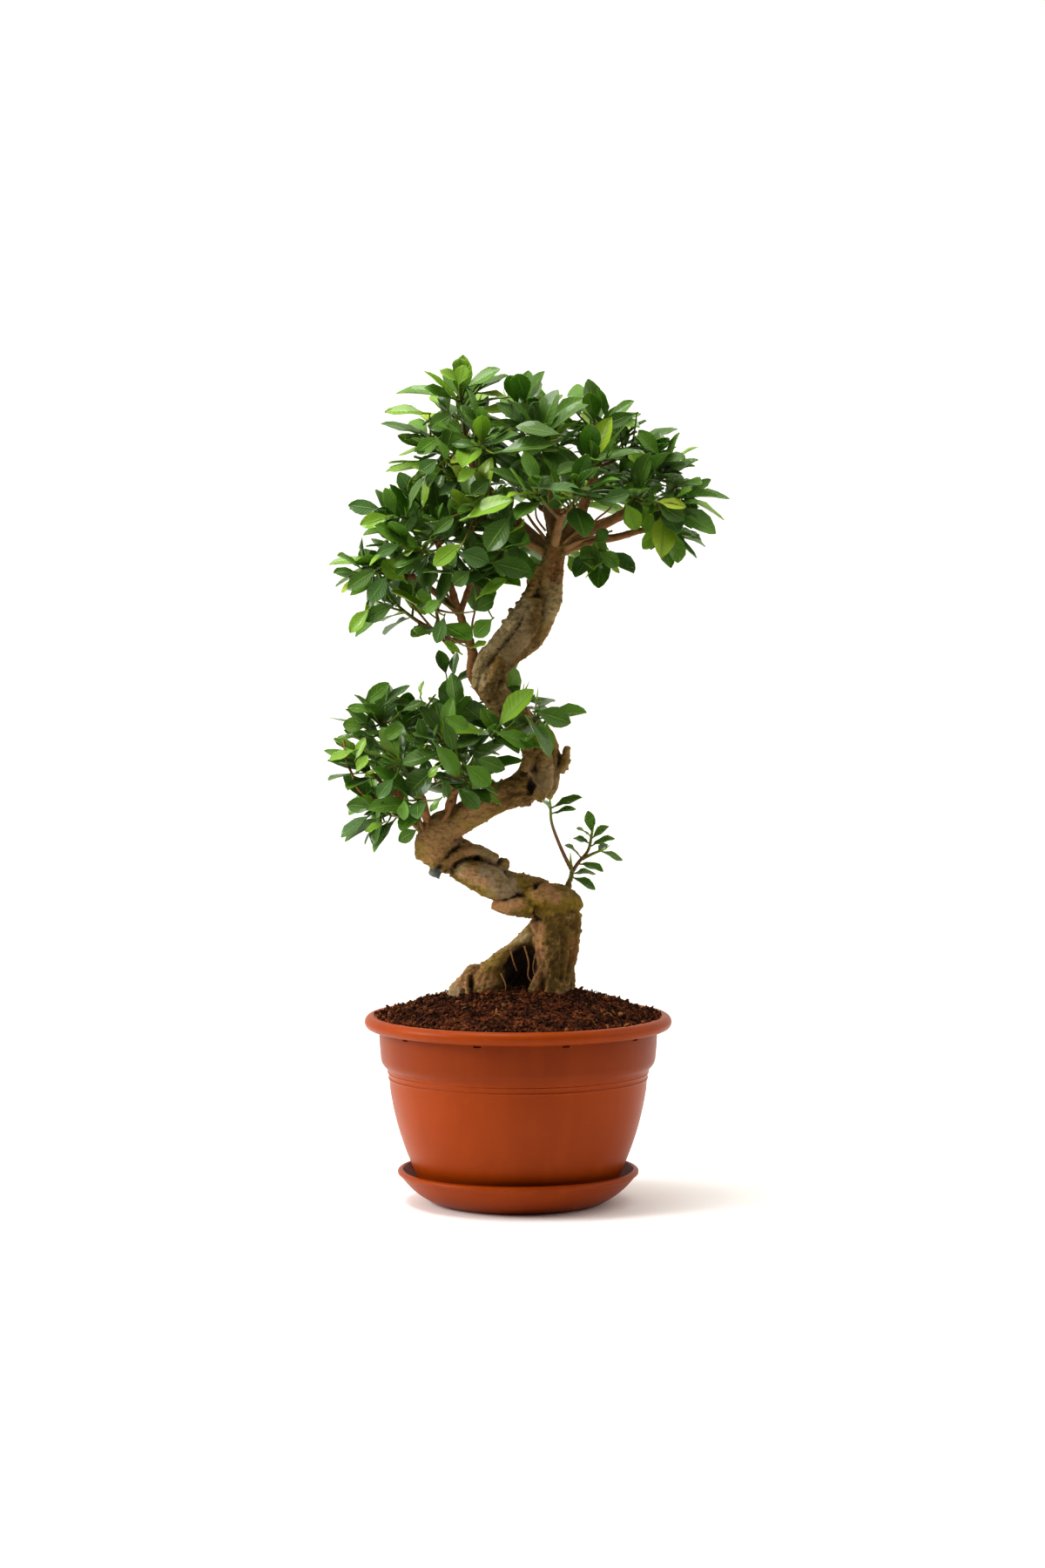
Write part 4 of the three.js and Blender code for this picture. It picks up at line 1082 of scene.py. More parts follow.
def ball():
    shape = bmesh.new()
    bmesh.ops.create_icosphere(shape, subdivisions=1, radius=1)
    shape.verts.layers.float.new("tone")
    return as_mesh("ball", shape)


def crumbs():
    template = ball()
    round_spots = np.array([vert.co for vert in template.vertices])
    shape = copies(template, CRUMBS + SPILT)
    tone = shape.verts.layers.float["tone"]
    verts = iter(shape.verts)
    for number in range(CRUMBS + SPILT):
        size = 0.6 + 2.8 * draw.random() ** 3
        spot = on_mound(0) + [0, 0, size * 0.2]
        if number >= CRUMBS:
            size = min(size, 1.8)
            spot = on_rim() + [0, 0, size * 0.5]
        turn = np.array(Vector(draw.normal(size=3)).to_track_quat("Z", "X").to_matrix())
        lumpy = round_spots * draw.uniform(0.75, 1.25, (len(round_spots), 1))
        squashed = lumpy * size * draw.uniform([0.7, 0.5, 0.4], [1.7, 1.1, 0.9])
        shade = draw.random() ** 4
        for place in squashed @ turn.T + spot:
            vert = next(verts)
            vert.co = place
            vert[tone] = shade
    return shape


def fibres():
    shape = bmesh.new()
    tone = shape.verts.layers.float.new("tone")
    shades = []
    for _ in range(FIBRES):
        middle = on_mound(1)
        turn = draw.random() * 2 * math.pi
        reach = draw.uniform(1.5, 6.5)
        ahead = np.array([math.cos(turn), math.sin(turn), 0]) * reach
        bend = np.array([-ahead[1], ahead[0], 0]) * draw.uniform(-0.9, 0.9)
        spots = [middle - ahead, middle + bend, middle + ahead]
        for spot in spots:
            spot[2] = mound_height(math.hypot(spot[0], spot[1])) - 0.9 + lump(spot[0], spot[1])
        spots[draw.integers(3)][2] += draw.uniform(0.3, 2.6)
        if max(math.hypot(spot[0], spot[1]) for spot in spots) < LITTER_RADIUS:
            thick, shade = draw.uniform(0.25, 0.75), draw.random() ** 3
            known = len(shape.verts)
            pour(shape, stem(SmoothWay(spots), lambda share, turn: thick, 3, 4))
            shades += [shade] * (len(shape.verts) - known)
    for vert, shade in zip(shape.verts, shades):
        vert[tone] = shade
    return shape


show("soil_crumbs", crumbs(), SOIL, "potting_soil", crisp=10)
show("soil_fibres", fibres(), SOIL, "potting_soil")
print(TRIANGLES["soil_crumbs"], "and", TRIANGLES["soil_fibres"], "triangles of crumbs and fibres")

# %% [markdown]
# The limbs are the same as in the solids: the root radius, the tip radius and the way of each. A limb's name
# starts with that of its pad. A spray's row gives its limb, the tip of its twig, how many leaves its solid
# has, and the leaves of its outline.

# %% Limbs and sprays of the solids
LIMBS = {
    "crownLeft": [6, 2.2, [[24, 0, 530], [6, 0, 546], [-16, -3, 568], [-34, -2, 594], [-42, 0, 616]]],
    "crownUp": [5, 2.2, [[29, 0, 533], [30, 0, 560], [20, 2, 588], [6, 2, 612]]],
    "crownUpRight": [5, 2.2, [[32, 0, 533], [50, 2, 560], [60, 3, 586], [66, 3, 604]]],
    "crownRight": [5.5, 2.2, [[33, 0, 531], [56, -3, 545], [82, -3, 558], [104, -2, 572]]],
    "crownRightLow": [4, 2, [[33, 0, 528], [58, 2, 537], [80, 2, 541], [98, 0, 546]]],
    "crownFront": [4, 2.2, [[29, -5, 533], [32, -28, 548], [34, -46, 556]]],
    "crownBack": [4, 2.2, [[29, 5, 533], [26, 30, 550], [24, 52, 562]]],
    "crownLeftFront": [3.5, 2, [[22, -4, 528], [4, -18, 538], [-14, -28, 546]]],
    "crownLeftBack": [3.5, 2, [[22, 4, 530], [2, 22, 542], [-18, 36, 552]]],
    "middleStem": [5, 3.4, [[-26, 0, 412], [-37, -4, 430], [-37, -5, 448], [-43, -5, 466], [-48, -5, 482]]],
    "middleUp": [3, 2, [[-48, -5, 480], [-54, -8, 500], [-60, -6, 520], [-66, -2, 538]]],
    "middleLeft": [3, 2, [[-48, -5, 480], [-62, -5, 492], [-82, -4, 508]]],
    "middleLow": [2.6, 2, [[-41, -5, 458], [-56, -6, 458], [-67, -4, 465]]],
    "middleRight": [2.6, 2, [[-47, -5, 480], [-42, -2, 494], [-38, 0, 506]]],
    "lowerLeft": [4, 2.2, [[-74, 0, 298], [-86, -2, 314], [-97, -3, 331]]],
    "lowerFront": [3.5, 2.2, [[-70, -6, 302], [-76, -18, 322], [-80, -26, 340]]],
    "lowerMid": [3.5, 2.2, [[-60, -6, 306], [-54, -16, 332], [-52, -22, 352]]],
    "lowerBack": [3.5, 2.2, [[-70, 4, 300], [-80, 18, 326], [-86, 24, 348]]],
    "lowerMidBack": [3.5, 2.2, [[-58, 0, 308], [-52, 18, 334], [-50, 26, 356]]],
    "lowerRight": [4, 2.4, [[12, -4, 372], [9, -12, 374], [8, -19, 377]]],
    "lowerRightBack": [4, 2.4, [[8, 6, 386], [6, 12, 385], [4, 18, 386]]],
}

PADS = ("crown", "middle", "lower")
SPRAYS = [
    ["crownLeft", [-46, 0, 652], 6, [[-46, -5, 688], [-97, 4, 664], [-13, 8, 675], [-73, -16, 660]]],
    ["crownLeft", [-72, 6, 622], 5, [[-109, 4, 637], [-98, 16, 612], [-88, -22, 632]]],
    ["crownLeft", [-68, -10, 596], 5, [[-107, -6, 598], [-82, -34, 614]]],
    ["crownUp", [0, 3, 646], 5, [[18, 0, 676], [-34, -8, 658], [34, 12, 660]]],
    ["crownUpRight", [62, 0, 634], 5, [[58, -4, 668], [88, -4, 653], [99, 12, 645]]],
    ["crownUpRight", [92, 10, 614], 5, [[103, 2, 640], [127, 8, 632], [134, 24, 610]]],
    ["crownRight", [116, -12, 598], 5, [[142, -10, 607], [156, -6, 588], [97, -24, 624]]],
    ["crownRight", [132, 4, 574], 6, [[171, 4, 577], [169, 16, 560], [157, -8, 548], [150, -22, 580]]],
    ["crownRightLow", [124, -8, 552], 5, [[105, -22, 534], [126, -18, 519], [147, 2, 528]]],
    ["crownLeft", [-30, -38, 618], 4, []],
    ["crownUp", [18, -42, 618], 5, [[52, -44, 650], [2, -50, 650]]],
    ["crownUpRight", [56, -58, 598], 5, [[58, -72, 632], [94, -66, 611]]],
    ["crownRight", [92, -50, 572], 5, [[96, -84, 582], [92, -76, 550]]],
    ["crownLeftFront", [-36, -50, 566], 4, []],
    ["crownFront", [16, -72, 574], 5, [[8, -80, 606], [-20, -72, 598], [16, -112, 592]]],
    ["crownFront", [50, -74, 578], 5, [[86, -84, 586], [48, -110, 583]]],
    ["crownRight", [120, -44, 564], 5, [[142, -62, 572], [126, -70, 548]]],
    ["crownRightLow", [68, -38, 530], 4, [[62, -48, 504], [94, -50, 517], [44, -54, 514]]],
    ["crownLeftFront", [-12, -46, 530], 5, [[10, -50, 510], [-36, -62, 520]]],
    ["crownLeft", [-54, -30, 588], 4, []],
    ["crownLeft", [-40, 46, 624], 4, []],
    ["crownUp", [20, 48, 630], 4, []],
    ["crownUpRight", [78, 50, 608], 4, []],
    ["crownLeftBack", [-50, 58, 574], 4, []],
    ["crownBack", [2, 84, 584], 4, []],
    ["crownBack", [56, 88, 572], 4, []],
    ["crownRight", [112, 44, 574], 4, []],
    ["crownBack", [36, 84, 536], 4, []],
    ["crownLeftBack", [-10, 70, 540], 4, []],
    ["middleUp", [-98, -4, 554], 5, [[-135, -2, 568], [-124, -18, 548], [-100, -10, 584]]],
    ["middleUp", [-82, 16, 572], 5, [[-128, 18, 573], [-96, 22, 596]]],
    ["middleLeft", [-112, -8, 518], 5, [[-152, -8, 524], [-150, 8, 506], [-136, -18, 499]]],
    ["middleLow", [-100, 0, 488], 5, [[-134, -2, 464], [-121, -18, 474]]],
    ["middleUp", [-76, -38, 530], 4, [[-98, -56, 514]]],
    ["middleUp", [-52, -34, 546], 4, []],
    ["middleLow", [-66, -30, 484], 5, [[-64, -44, 455], [-84, -46, 466]]],
    ["middleUp", [-70, 36, 558], 4, []],
    ["middleLeft", [-94, 34, 514], 4, []],
    ["middleRight", [-34, 32, 516], 4, [[-20, 12, 490]]],
    ["middleRight", [-34, -30, 520], 4, [[-22, -48, 500]]],
    ["lowerLeft", [-112, 2, 392], 6, [[-106, 2, 422], [-136, -4, 405], [-140, 8, 388]]],
    ["lowerLeft", [-126, -14, 360], 5, [[-152, -10, 365], [-136, -36, 376]]],
    ["lowerLeft", [-116, -16, 322], 5, [[-142, -16, 300], [-124, -36, 302], [-120, -8, 288]]],
    ["lowerFront", [-94, -42, 362], 4, [[-108, -62, 372]]],
    ["lowerFront", [-80, -50, 332], 4, [[-92, -62, 312]]],
    ["lowerMid", [-60, -38, 380], 5, [[-86, -52, 374], [-54, -44, 412]]],
    ["lowerRight", [-24, -38, 384], 5, [[8, -44, 417], [-54, -50, 390], [2, -62, 374]]],
    ["lowerRight", [16, -45, 400], 5, [[41, -36, 403], [36, -26, 388], [26, -50, 368]]],
    ["lowerMid", [-38, -44, 350], 5, [[-24, -58, 334], [-22, -36, 356]]],
    ["lowerBack", [-94, 32, 388], 4, []],
    ["lowerBack", [-106, 40, 352], 4, []],
    ["lowerMidBack", [-52, 38, 392], 4, []],
    ["lowerMidBack", [-44, 50, 356], 4, []],
    ["lowerRightBack", [-12, 48, 404], 4, []],
]

print(len(LIMBS), "limbs carry", len(SPRAYS), "sprays")

# %% [markdown]
# The twigs and the leaves of the solids are placed here again with the same rule, because the leaves that
# this model adds have to grow between them. A twig starts on its limb, at the last spot that is far enough
# from its tip, and its leafy end belongs to the spray.

# %% Where the twigs grow
LEAF_LENGTH = 46
LEAF_WIDTH = 0.48
LEAF_ARCH = 0.13
LEAF_STEP = 5.2
LEAF_CLEAR = 8
LEAF_APART = 5
WOOD_CLEAR = 4.5
GOLDEN_TURN = 2.39996
TWIG_LEAST = 34
TWIG_LEAFY = 0.72
TWIG_ROOT = 2.4
TWIG_CUT = 2
TWIG_TIP = 1.4
LIMB_WAYS = {name: SmoothWay(made[2]) for name, made in LIMBS.items()}


def twig_way(limb_name, tip, leads):
    way = LIMB_WAYS[limb_name]
    root = way.point(1)
    nearest = 0 if leads else math.inf
    for k in range(21):
        spot = way.point(k / 20)
        far = np.linalg.norm(spot - tip)
        if TWIG_LEAST <= far < nearest:
            nearest, root = far, spot
    middle = (root + tip) / 2 - [0, 0, 0.1 * np.linalg.norm(tip - root)]
    return TwigWay(root, middle, tip)


class Spray:
    def __init__(self, number, limb_name, tip, count, outline):
        self.number = number
        self.pad = next(pad for pad in PADS if limb_name.startswith(pad))
        self.limb_name = limb_name
        self.leads = [row[0] for row in SPRAYS].index(limb_name) == number
        self.way = twig_way(limb_name, np.array(tip, float), self.leads)
        self.length = self.way.length()
        self.cut = 1 - min(TWIG_LEAFY * self.length, LEAF_STEP * (count + 1)) / self.length
        self.count = count
        self.outline = outline
        self.leaves = []


sprays = [Spray(number, *row) for number, row in enumerate(SPRAYS)]
print("twigs are", round(min(s.length for s in sprays)), "to", round(max(s.length for s in sprays)), "mm long")

# %% [markdown]
# A leaf has its root, its heading, the way its upper face looks and its length. It is placed where it clears
# all that has its place already: wood by a few millimetres, and other leaves by a little more.

# %% A leaf and its room
def chance(spray, leaf, use):
    """A repeatable draw from 0 to 1."""
    wave = math.sin(spray * 127.1 + leaf * 311.7 + use * 74.7) * 43758.5453
    return wave - math.floor(wave)


class Leaf:
    def __init__(self, root, heading, facing, length):
        self.root, self.heading, self.length = root, unit(heading), length
        self.face = unit(facing - self.heading * facing.dot(self.heading))
        self.side = np.cross(self.face, self.heading)
        self.arch = LEAF_ARCH
        self.broad = 1
        self.kind = None
        self.twig = None

    def spot(self, along, across=0.0, over=0.0):
        rise = over - self.arch * self.length * along * along
        half = across * LEAF_WIDTH * self.length / 2
        return self.root + self.heading * along * self.length + self.side * half + self.face * rise


LEAF_SPOTS = [
    (0.14, 0), (0.28, 0), (0.44, -0.75), (0.44, 0), (0.44, 0.75), (0.6, -0.95), (0.6, 0), (0.6, 0.95),
    (0.76, -0.9), (0.76, 0), (0.76, 0.9), (0.92, -0.45), (0.92, 0.45), (1, 0),
]
WOOD = -1
print(len(LEAF_SPOTS), "spots stand for a leaf")

# %% [markdown]
# All that grows takes up room. Each twig and leaf leaves a few spots with a radius and an owner, and a new
# leaf is kept only where its own spots are far enough from them.

# %% The room that is taken
class Room:
    """All spots that are taken: where, how wide, by whom, and if it is a leaf."""

    def __init__(self):
        self.rows = np.zeros((40000, 6))
        self.count = 0

    def take(self, spot, radius, owner, leaf):
        self.rows[self.count] = (*spot, radius, owner, leaf)
        self.count += 1

    def take_wood(self, way, radius_at, owner):
        steps = math.ceil(np.linalg.norm(way.point(1) - way.point(0)) / 4) + 6
        for k in range(steps + 1):
            self.take(way.point(k / steps), radius_at(k / steps), owner, False)

    def take_leaf(self, leaf, owner):
        for along, across in LEAF_SPOTS:
            early = along < 0.4
            self.take(leaf.spot(along, 0 if early else across), 1 if early else 0, owner, not early)

    def clear(self, leaf, owner, apart, free, wood):
        """True where a leaf has its room from its own spray's leaves, from other leaves and from wood."""
        rows = self.rows[:self.count]
        reach = leaf.length * 0.62 + 30
        rows = rows[np.abs(rows[:, :3] - leaf.spot(0.5)).max(axis=1) < reach]
        spots = np.array([leaf.spot(*share) for share in LEAF_SPOTS])
        mine, leafy = rows[:, 4] == owner, rows[:, 5] == 1
        needed = np.where(leafy, np.where(mine, apart, free), rows[:, 3] + wood)
        far = ((spots[:, None, :] - rows[None, :, :3]) ** 2).sum(axis=2) > needed ** 2
        return bool(far[3:, mine & leafy].all() and far[:, ~mine].all())


print("there is room for", len(Room().rows), "spots")

# %% [markdown]
# The leaves of the solids come first: those of the outline by their tips, the others by a rule, turn by turn
# round the twig.

# %% The leaves of the solids
def leaf_to_tip(spray, tip):
    shares = [spray.cut + (1 - spray.cut) * (0.15 + 0.82 * k / 8) for k in range(9)]
    root = min((spray.way.point(share) for share in shares),
               key=lambda spot: abs(np.linalg.norm(spot - tip) - LEAF_LENGTH * 0.9))
    return Leaf(root, tip - root, np.array([0, -0.35, 1]), np.linalg.norm(tip - root))


def leaf_by_rule(spray, order, attempt, size=1.0):
    share = 1 - (1 + LEAF_STEP * order) / spray.length
    root = spray.way.point(max(share, spray.cut + 0.08))
    along = spray.way.heading(share)
    number = spray.number
    turn = order * GOLDEN_TURN + chance(number, order, 1) * 0.8 + number + attempt * 0.9
    lean = 0.5 + 0.16 * order + chance(number, order + attempt, 2) * 0.3
    heading = leaning(along, lean, turn)
    face = along * 0.6 + [chance(number, order, 3) * 0.6 - 0.3, chance(number, order, 4) * 0.6 - 0.4, 0.8]
    young = 0.72 if order == 0 else 0.86 + 0.2 * chance(number, order, 5)
    return Leaf(root, heading, face, LEAF_LENGTH * young * size)


def place_solid_leaves(room):
    room.take_wood(SmoothWay(TRUNK), lambda share: station_radius(TRUNK, share), WOOD)
    room.take_wood(SmoothWay(BROKEN_STUB), lambda share: 8, WOOD)
    for way in LIMB_WAYS.values():
        room.take_wood(way, lambda share: 4, WOOD)
    for spray in sprays:
        room.take_wood(Stretch(spray.way, 0, spray.cut), lambda share: TWIG_ROOT, WOOD)
        room.take_wood(Stretch(spray.way, spray.cut, 1), twig_radius, spray.number)
    for spray in sprays:
        for tip in spray.outline:
            leaf = leaf_to_tip(spray, np.array(tip, float))
            if room.clear(leaf, spray.number, LEAF_APART, LEAF_CLEAR, WOOD_CLEAR):
                room.take_leaf(leaf, spray.number)
                spray.leaves.append(leaf)
    for order in range(9):
        for spray in sprays:
            grow(room, spray, order, spray.count, 7, (LEAF_APART, LEAF_CLEAR, WOOD_CLEAR))


def grow(room, spray, order, most, attempts, clearances, size=1.0):
    """Gives a spray one leaf more by the rule, if it has fewer than it may and there is room."""
    if len(spray.leaves) >= most:
        return
    for attempt in range(attempts):
        leaf = leaf_by_rule(spray, order, attempt, size)
        if room.clear(leaf, spray.number, *clearances):
            room.take_leaf(leaf, spray.number)
            spray.leaves.append(leaf)
            return


def twig_radius(share):
    return TWIG_CUT + (TWIG_TIP - TWIG_CUT) * share


room = Room()
place_solid_leaves(room)
solid_leaves = sum(len(spray.leaves) for spray in sprays)
print(solid_leaves, "leaves are those of the solids")

# %% [markdown]
# The limbs and the woody start of each twig are thin tubes with ring scars. They join the trunk's skin as
# part of the same wood, with the redder bark of young twigs. So do a few bare twigs and the fine roots at the
# foot.

# %% Limbs and twigs
NODE_STEP = 5.2
BARE_TWIGS = [
    [1.5, 0.9, [(-100, -8, 328), (-116, -12, 329), (-128, -14, 336), (-134, -15, 349), (-139, -16, 362),
                (-140.5, -16, 377)]],
    [1.3, 0.8, [(-52, -6, 447), (-60, -10, 457), (-70, -12, 468), (-80, -14, 480), (-90, -14, 492)]],
    [1.2, 0.8, [(-39, -6, 452), (-38, -9, 462), (-37, -10, 472), (-35, -9, 481)]],
    [1.4, 0.9, [(-48, -6, 480), (-56, -10, 492), (-60, -12, 502), (-59, -12, 514)]],
    [1.6, 1.0, [(27, 0, 530), (20, -6, 542), (12, -9, 552), (5, -10, 563)]],
    [1.3, 0.8, [(28, -2, 532), (26, -8, 545), (22, -12, 556), (20, -14, 567)]],
    [1.4, 0.9, [(29, -2, 532), (33, -8, 545), (35, -12, 556), (41, -14, 567)]],
    [1.5, 0.9, [(31, -2, 531), (42, -8, 541), (55, -12, 549), (70, -14, 556)]],
    [1.3, 0.8, [(32, -2, 530), (46, -8, 537), (60, -12, 541), (76, -14, 546)]],
    [1.2, 0.7, [(26, -2, 528), (14, -8, 536), (5, -10, 545), (-3, -12, 552)]],
    [1.2, 0.7, [(30, 0, 534), (30, -6, 548), (33, -8, 560), (31, -10, 571)]],
    [1.0, 0.6, [(44, -9, 542), (50, -13, 550), (54, -16, 558), (56, -17, 566)]],
    [1.0, 0.6, [(58, -12, 549), (64, -14, 556), (73, -14, 563), (80, -14, 572)]],
    [1.0, 0.6, [(22, -8, 546), (15, -12, 556), (14, -13, 567)]],
    [2.4, 1.8, [(-76, -12, 303), (-66, -16, 309), (-58, -18, 316), (-54, -18, 328)]],
    [1.8, 1.2, [(-76, -12, 304), (-81, -16, 316), (-80, -18, 328), (-77, -18, 340)]],
    [1.8, 1.2, [(-73, -12, 304), (-73, -16, 318), (-76, -18, 332)]],
    [1.9, 1.2, [(-82, -10, 307), (-93, -14, 315), (-101, -16, 325), (-106, -16, 331)]],
    [1.2, 0.8, [(-101, -16, 325), (-102, -17, 334), (-104, -17, 342)]],
    [1.1, 0.7, [(-66, -18, 340), (-68, -20, 350), (-72, -20, 360)]],
    [0.8, 0.4, [(5, -12, 210), (8.5, -15, 197), (8, -17, 186), (13, -18, 179)]],
    [0.7, 0.4, [(-6, -12, 206), (-4, -15, 198), (-1, -16, 190)]],
    [0.7, 0.4, [(-14, -15, 188), (-10, -18, 178), (-12, -20, 167)]],
    [0.6, 0.3, [(14, -13, 204), (12, -16, 192), (15, -18, 184)]],
    [0.9, 0.4, [(-47, -14, 172), (-49, -22, 163), (-44, -31, 160.5), (-38, -42, 161)]],
    [0.8, 0.4, [(-42, -16, 168), (-38, -28, 166), (-29, -36, 166.5)]],
    [0.9, 0.5, [(-50, -20, 164), (-53, -32, 159), (-50, -45, 158)]],
]


def shoot_radius(length, root, tip):
    """A radius that swells a little at each ring scar."""
    def radius(share, turn):
        ring = max(math.cos(share * length / NODE_STEP * 2 * math.pi), 0) ** 6
        return (root + (tip - root) * share) * (1 + 0.16 * ring)
    return radius


def add_limbs(shape):
    known = len(shape.verts)
    for name, (root, tip, spots) in LIMBS.items():
        leader = next((spray for spray in sprays if spray.limb_name == name), None)
        end = leader.cut - GAP / 2 / leader.length if leader else 0
        onward = [leader.way.point(end / 2), leader.way.point(end)] if leader else []
        way = SmoothWay(list(spots) + onward)
        length = sum(np.linalg.norm(way.point((k + 1) / 20) - way.point(k / 20)) for k in range(20))
        rings = shoot_radius(length, 1, 1)
        radius = lambda share, turn: max(root + (tip - root) * share * 1.3, 1.8) * rings(share, turn)
        pour(shape, stem(way, radius, 10, int(length / 2)))
    for spray in sprays:
        if not spray.leads:
            length = spray.length * spray.cut
            way = Stretch(spray.way, 0, spray.cut - GAP / 2 / spray.length)
            pour(shape, stem(way, shoot_radius(length, 2.1, 1.8), 9, max(int(length / 2), 4)))
    for root, tip, spots in BARE_TWIGS:
        radius = lambda share, turn: root + (tip - root) * share
        pour(shape, stem(SmoothWay(spots), radius, 7, 4 * (len(spots) - 1)))
    shape.verts.ensure_lookup_table()
    young, shade_and_tone = shape.verts.layers.float["young"], shape.verts.layers.float["shade_and_tone"]
    for vert in shape.verts[known:]:
        far = (vert.co - Vector((26, 0, 520))).length
        vert[young] = min(max(far / 60, 0.25), 1)
        vert[shade_and_tone] = 0.2 + 0.3 * noise.noise(vert.co * 0.2)


add_limbs(trunk_shape)
show("trunk_wood", trunk_shape, BARK, "bark", "trunk")
print("trunk and limbs", TRIANGLES["trunk_wood"], "triangles")

# %% [markdown]
# Some leaves give the plant its face: the bright one over the bend, the blue-grey ones with their painted
# reflection, the yellow ones. Each is written as it is seen from the front: its root, its tip and its width,
# and its kind. It stands in front of what is there already, on a thin side twig from the nearest shoot.

# %% Leaves that are known by sight
KINDS = {
    # the age and the tone of each kind; a tone near nought gives the blue-grey painted reflection
    "dark": (0.0, 0.42), "green": (0.1, 0.95), "bright": (0.66, 0.85), "blue": (0.0, 0.02), "pale": (0.75, 0.3),
    "yellow": (1.0, 0.6), "olive": (0.45, 0.5),
}
SEEN_LEAVES = {
    "crown": [
        ("pale", -46, 664, -62, 674, 10), ("bright", -47, 670, -47, 684, 14),
        ("bright", -48, 660, -44, 678, 13), ("bright", -70, 640, -106, 642, 9),
        ("green", 70, 632, 92, 650, 9), ("green", -44, 659, -16, 676, 10), ("green", -52, 652, -74, 662, 9),
        ("green", 22, 632, 52, 653, 13), ("blue", 58, 634, 58, 602, 20), ("green", 114, 603, 97, 625, 13),
        ("blue", 90, 601, 108, 587, 15), ("pale", 106, 581, 83, 573, 18), ("yellow", 107, 569, 132, 565, 9),
        ("dark", 107, 569, 130, 554, 15), ("bright", 84, 569, 94, 547, 15),
        ("bright", 116, 548, 99, 533, 13), ("olive", 124, 548, 127, 521, 16),
        ("blue", 62, 568, 87, 574, 13), ("green", 17, 577, 6, 606, 13), ("green", 5, 578, -21, 599, 8),
        ("blue", 10, 579, 51, 576, 8), ("bright", -46, 553, -6, 571, 13), ("blue", -74, 552, -51, 544, 13),
        ("dark", -4, 560, -24, 531, 21), ("dark", -26, 521, 10, 514, 18), ("blue", -49, 529, -24, 521, 17),
        ("bright", -42, 537, -67, 520, 16), ("green", -17, 545, 9, 538, 16),
        ("dark", -20, 606, 26, 616, 13), ("dark", 38, 620, 0, 628, 12), ("dark", -8, 650, 16, 634, 12),
        ("green", 88, 612, 62, 606, 11), ("dark", 96, 640, 70, 630, 13), ("green", -60, 622, -80, 608, 13),
        ("dark", -50, 640, -70, 628, 15), ("dark", -30, 612, -52, 615, 9), ("blue", -62, 604, -78, 592, 13),
        ("bright", -30, 596, -48, 586, 11), ("dark", -20, 588, -36, 574, 14),
        ("olive", 60, 514, 66, 540, 13), ("bright", 40, 528, 49, 513, 12), ("green", 62, 530, 80, 519, 13),
        ("dark", 60, 535, 70, 546, 12),
    ],
    "middle": [
        ("blue", -106, 562, -135, 566, 13), ("green", -97, 556, -107, 579, 12),
        ("bright", -99, 558, -125, 550, 12), ("dark", -78, 566, -94, 546, 13),
        ("pale", -88, 504, -108, 521, 17), ("dark", -110, 517, -136, 500, 14),
        ("blue", -103, 512, -118, 490, 15), ("dark", -97, 488, -122, 475, 14),
        ("bright", -117, 486, -134, 465, 11), ("blue", -58, 480, -64, 457, 12),
        ("olive", -70, 463, -83, 468, 9), ("green", -60, 492, -74, 482, 11),
        ("dark", -62, 491, -50, 484, 8), ("green", -19, 477, -35, 463, 15),
        ("dark", -36, 481, -20, 490, 12), ("bright", -34, 491, -11, 508, 9),
        ("dark", -36, 515, -51, 503, 14), ("dark", -70, 540, -52, 556, 12),
        ("blue", -92, 535, -112, 528, 12), ("bright", -38, 452, -26, 458, 8),
        ("bright", -44, 447, -58, 457, 9),
    ],
    "lower": [
        ("bright", -19, 386, 10, 419, 16), ("dark", 11, 403, 41, 396, 18), ("dark", -18, 405, 1, 419, 12),
        ("green", -20, 388, 11, 375, 13), ("blue", -52, 388, -84, 374, 8),
        ("bright", -24, 385, -54, 389, 9), ("dark", 6, 400, 27, 369, 10), ("green", -44, 362, -23, 344, 18),
        ("blue", -21, 345, -2, 328, 11), ("dark", -50, 343, -32, 325, 14), ("dark", -36, 366, -11, 358, 13),
        ("dark", -64, 359, -88, 337, 22), ("blue", -97, 351, -112, 335, 12),
        ("green", -90, 335, -90, 317, 11), ("dark", -79, 309, -95, 300, 12),
        ("dark", -113, 325, -136, 328, 13), ("blue", -118, 318, -143, 301, 9),
        ("blue", -104, 313, -116, 296, 8), ("pale", -89, 373, -107, 361, 14),
        ("dark", -58, 371, -92, 361, 12), ("green", -115, 400, -136, 405, 9),
        ("bright", -128, 371, -151, 364, 8), ("green", -128, 404, -105, 422, 13),
        ("olive", -121, 388, -141, 390, 13), ("bright", -131, 361, -123, 380, 10),
        ("bright", -131, 351, -121, 366, 10), ("olive", -124, 380, -146, 379, 4),
        ("green", -112, 376, -94, 389, 12), ("yellow", -104, 356, -122, 352, 5),
        ("olive", -107, 365, -122, 369, 5), ("bright", -105, 314, -122, 307, 8),
        ("green", -108, 331, -113, 317, 7), ("green", -60, 335, -70, 324, 8),
        ("yellow", -87, 385, -86, 375, 6), ("bright", -61, 361, -71, 351, 9),
        ("olive", -79, 404, -103, 408, 5), ("blue", -112, 402, -89, 421, 6),
        ("bright", -79, 411, -77, 425, 6), ("green", -68, 380, -47, 353, 14),
        ("dark", -60, 398, -50, 374, 12), ("dark", -60, 352, -56, 334, 9), ("dark", -58, 428, -63, 449, 12),
        ("blue", -53, 426, -51, 447, 9), ("blue", -57, 420, -31, 436, 6), ("dark", -48, 408, -72, 398, 14),
        ("dark", -96, 400, -75, 409, 8), ("green", -60, 400, -40, 390, 12),
    ],
}
print(sum(len(rows) for rows in SEEN_LEAVES.values()), "leaves are known by sight")

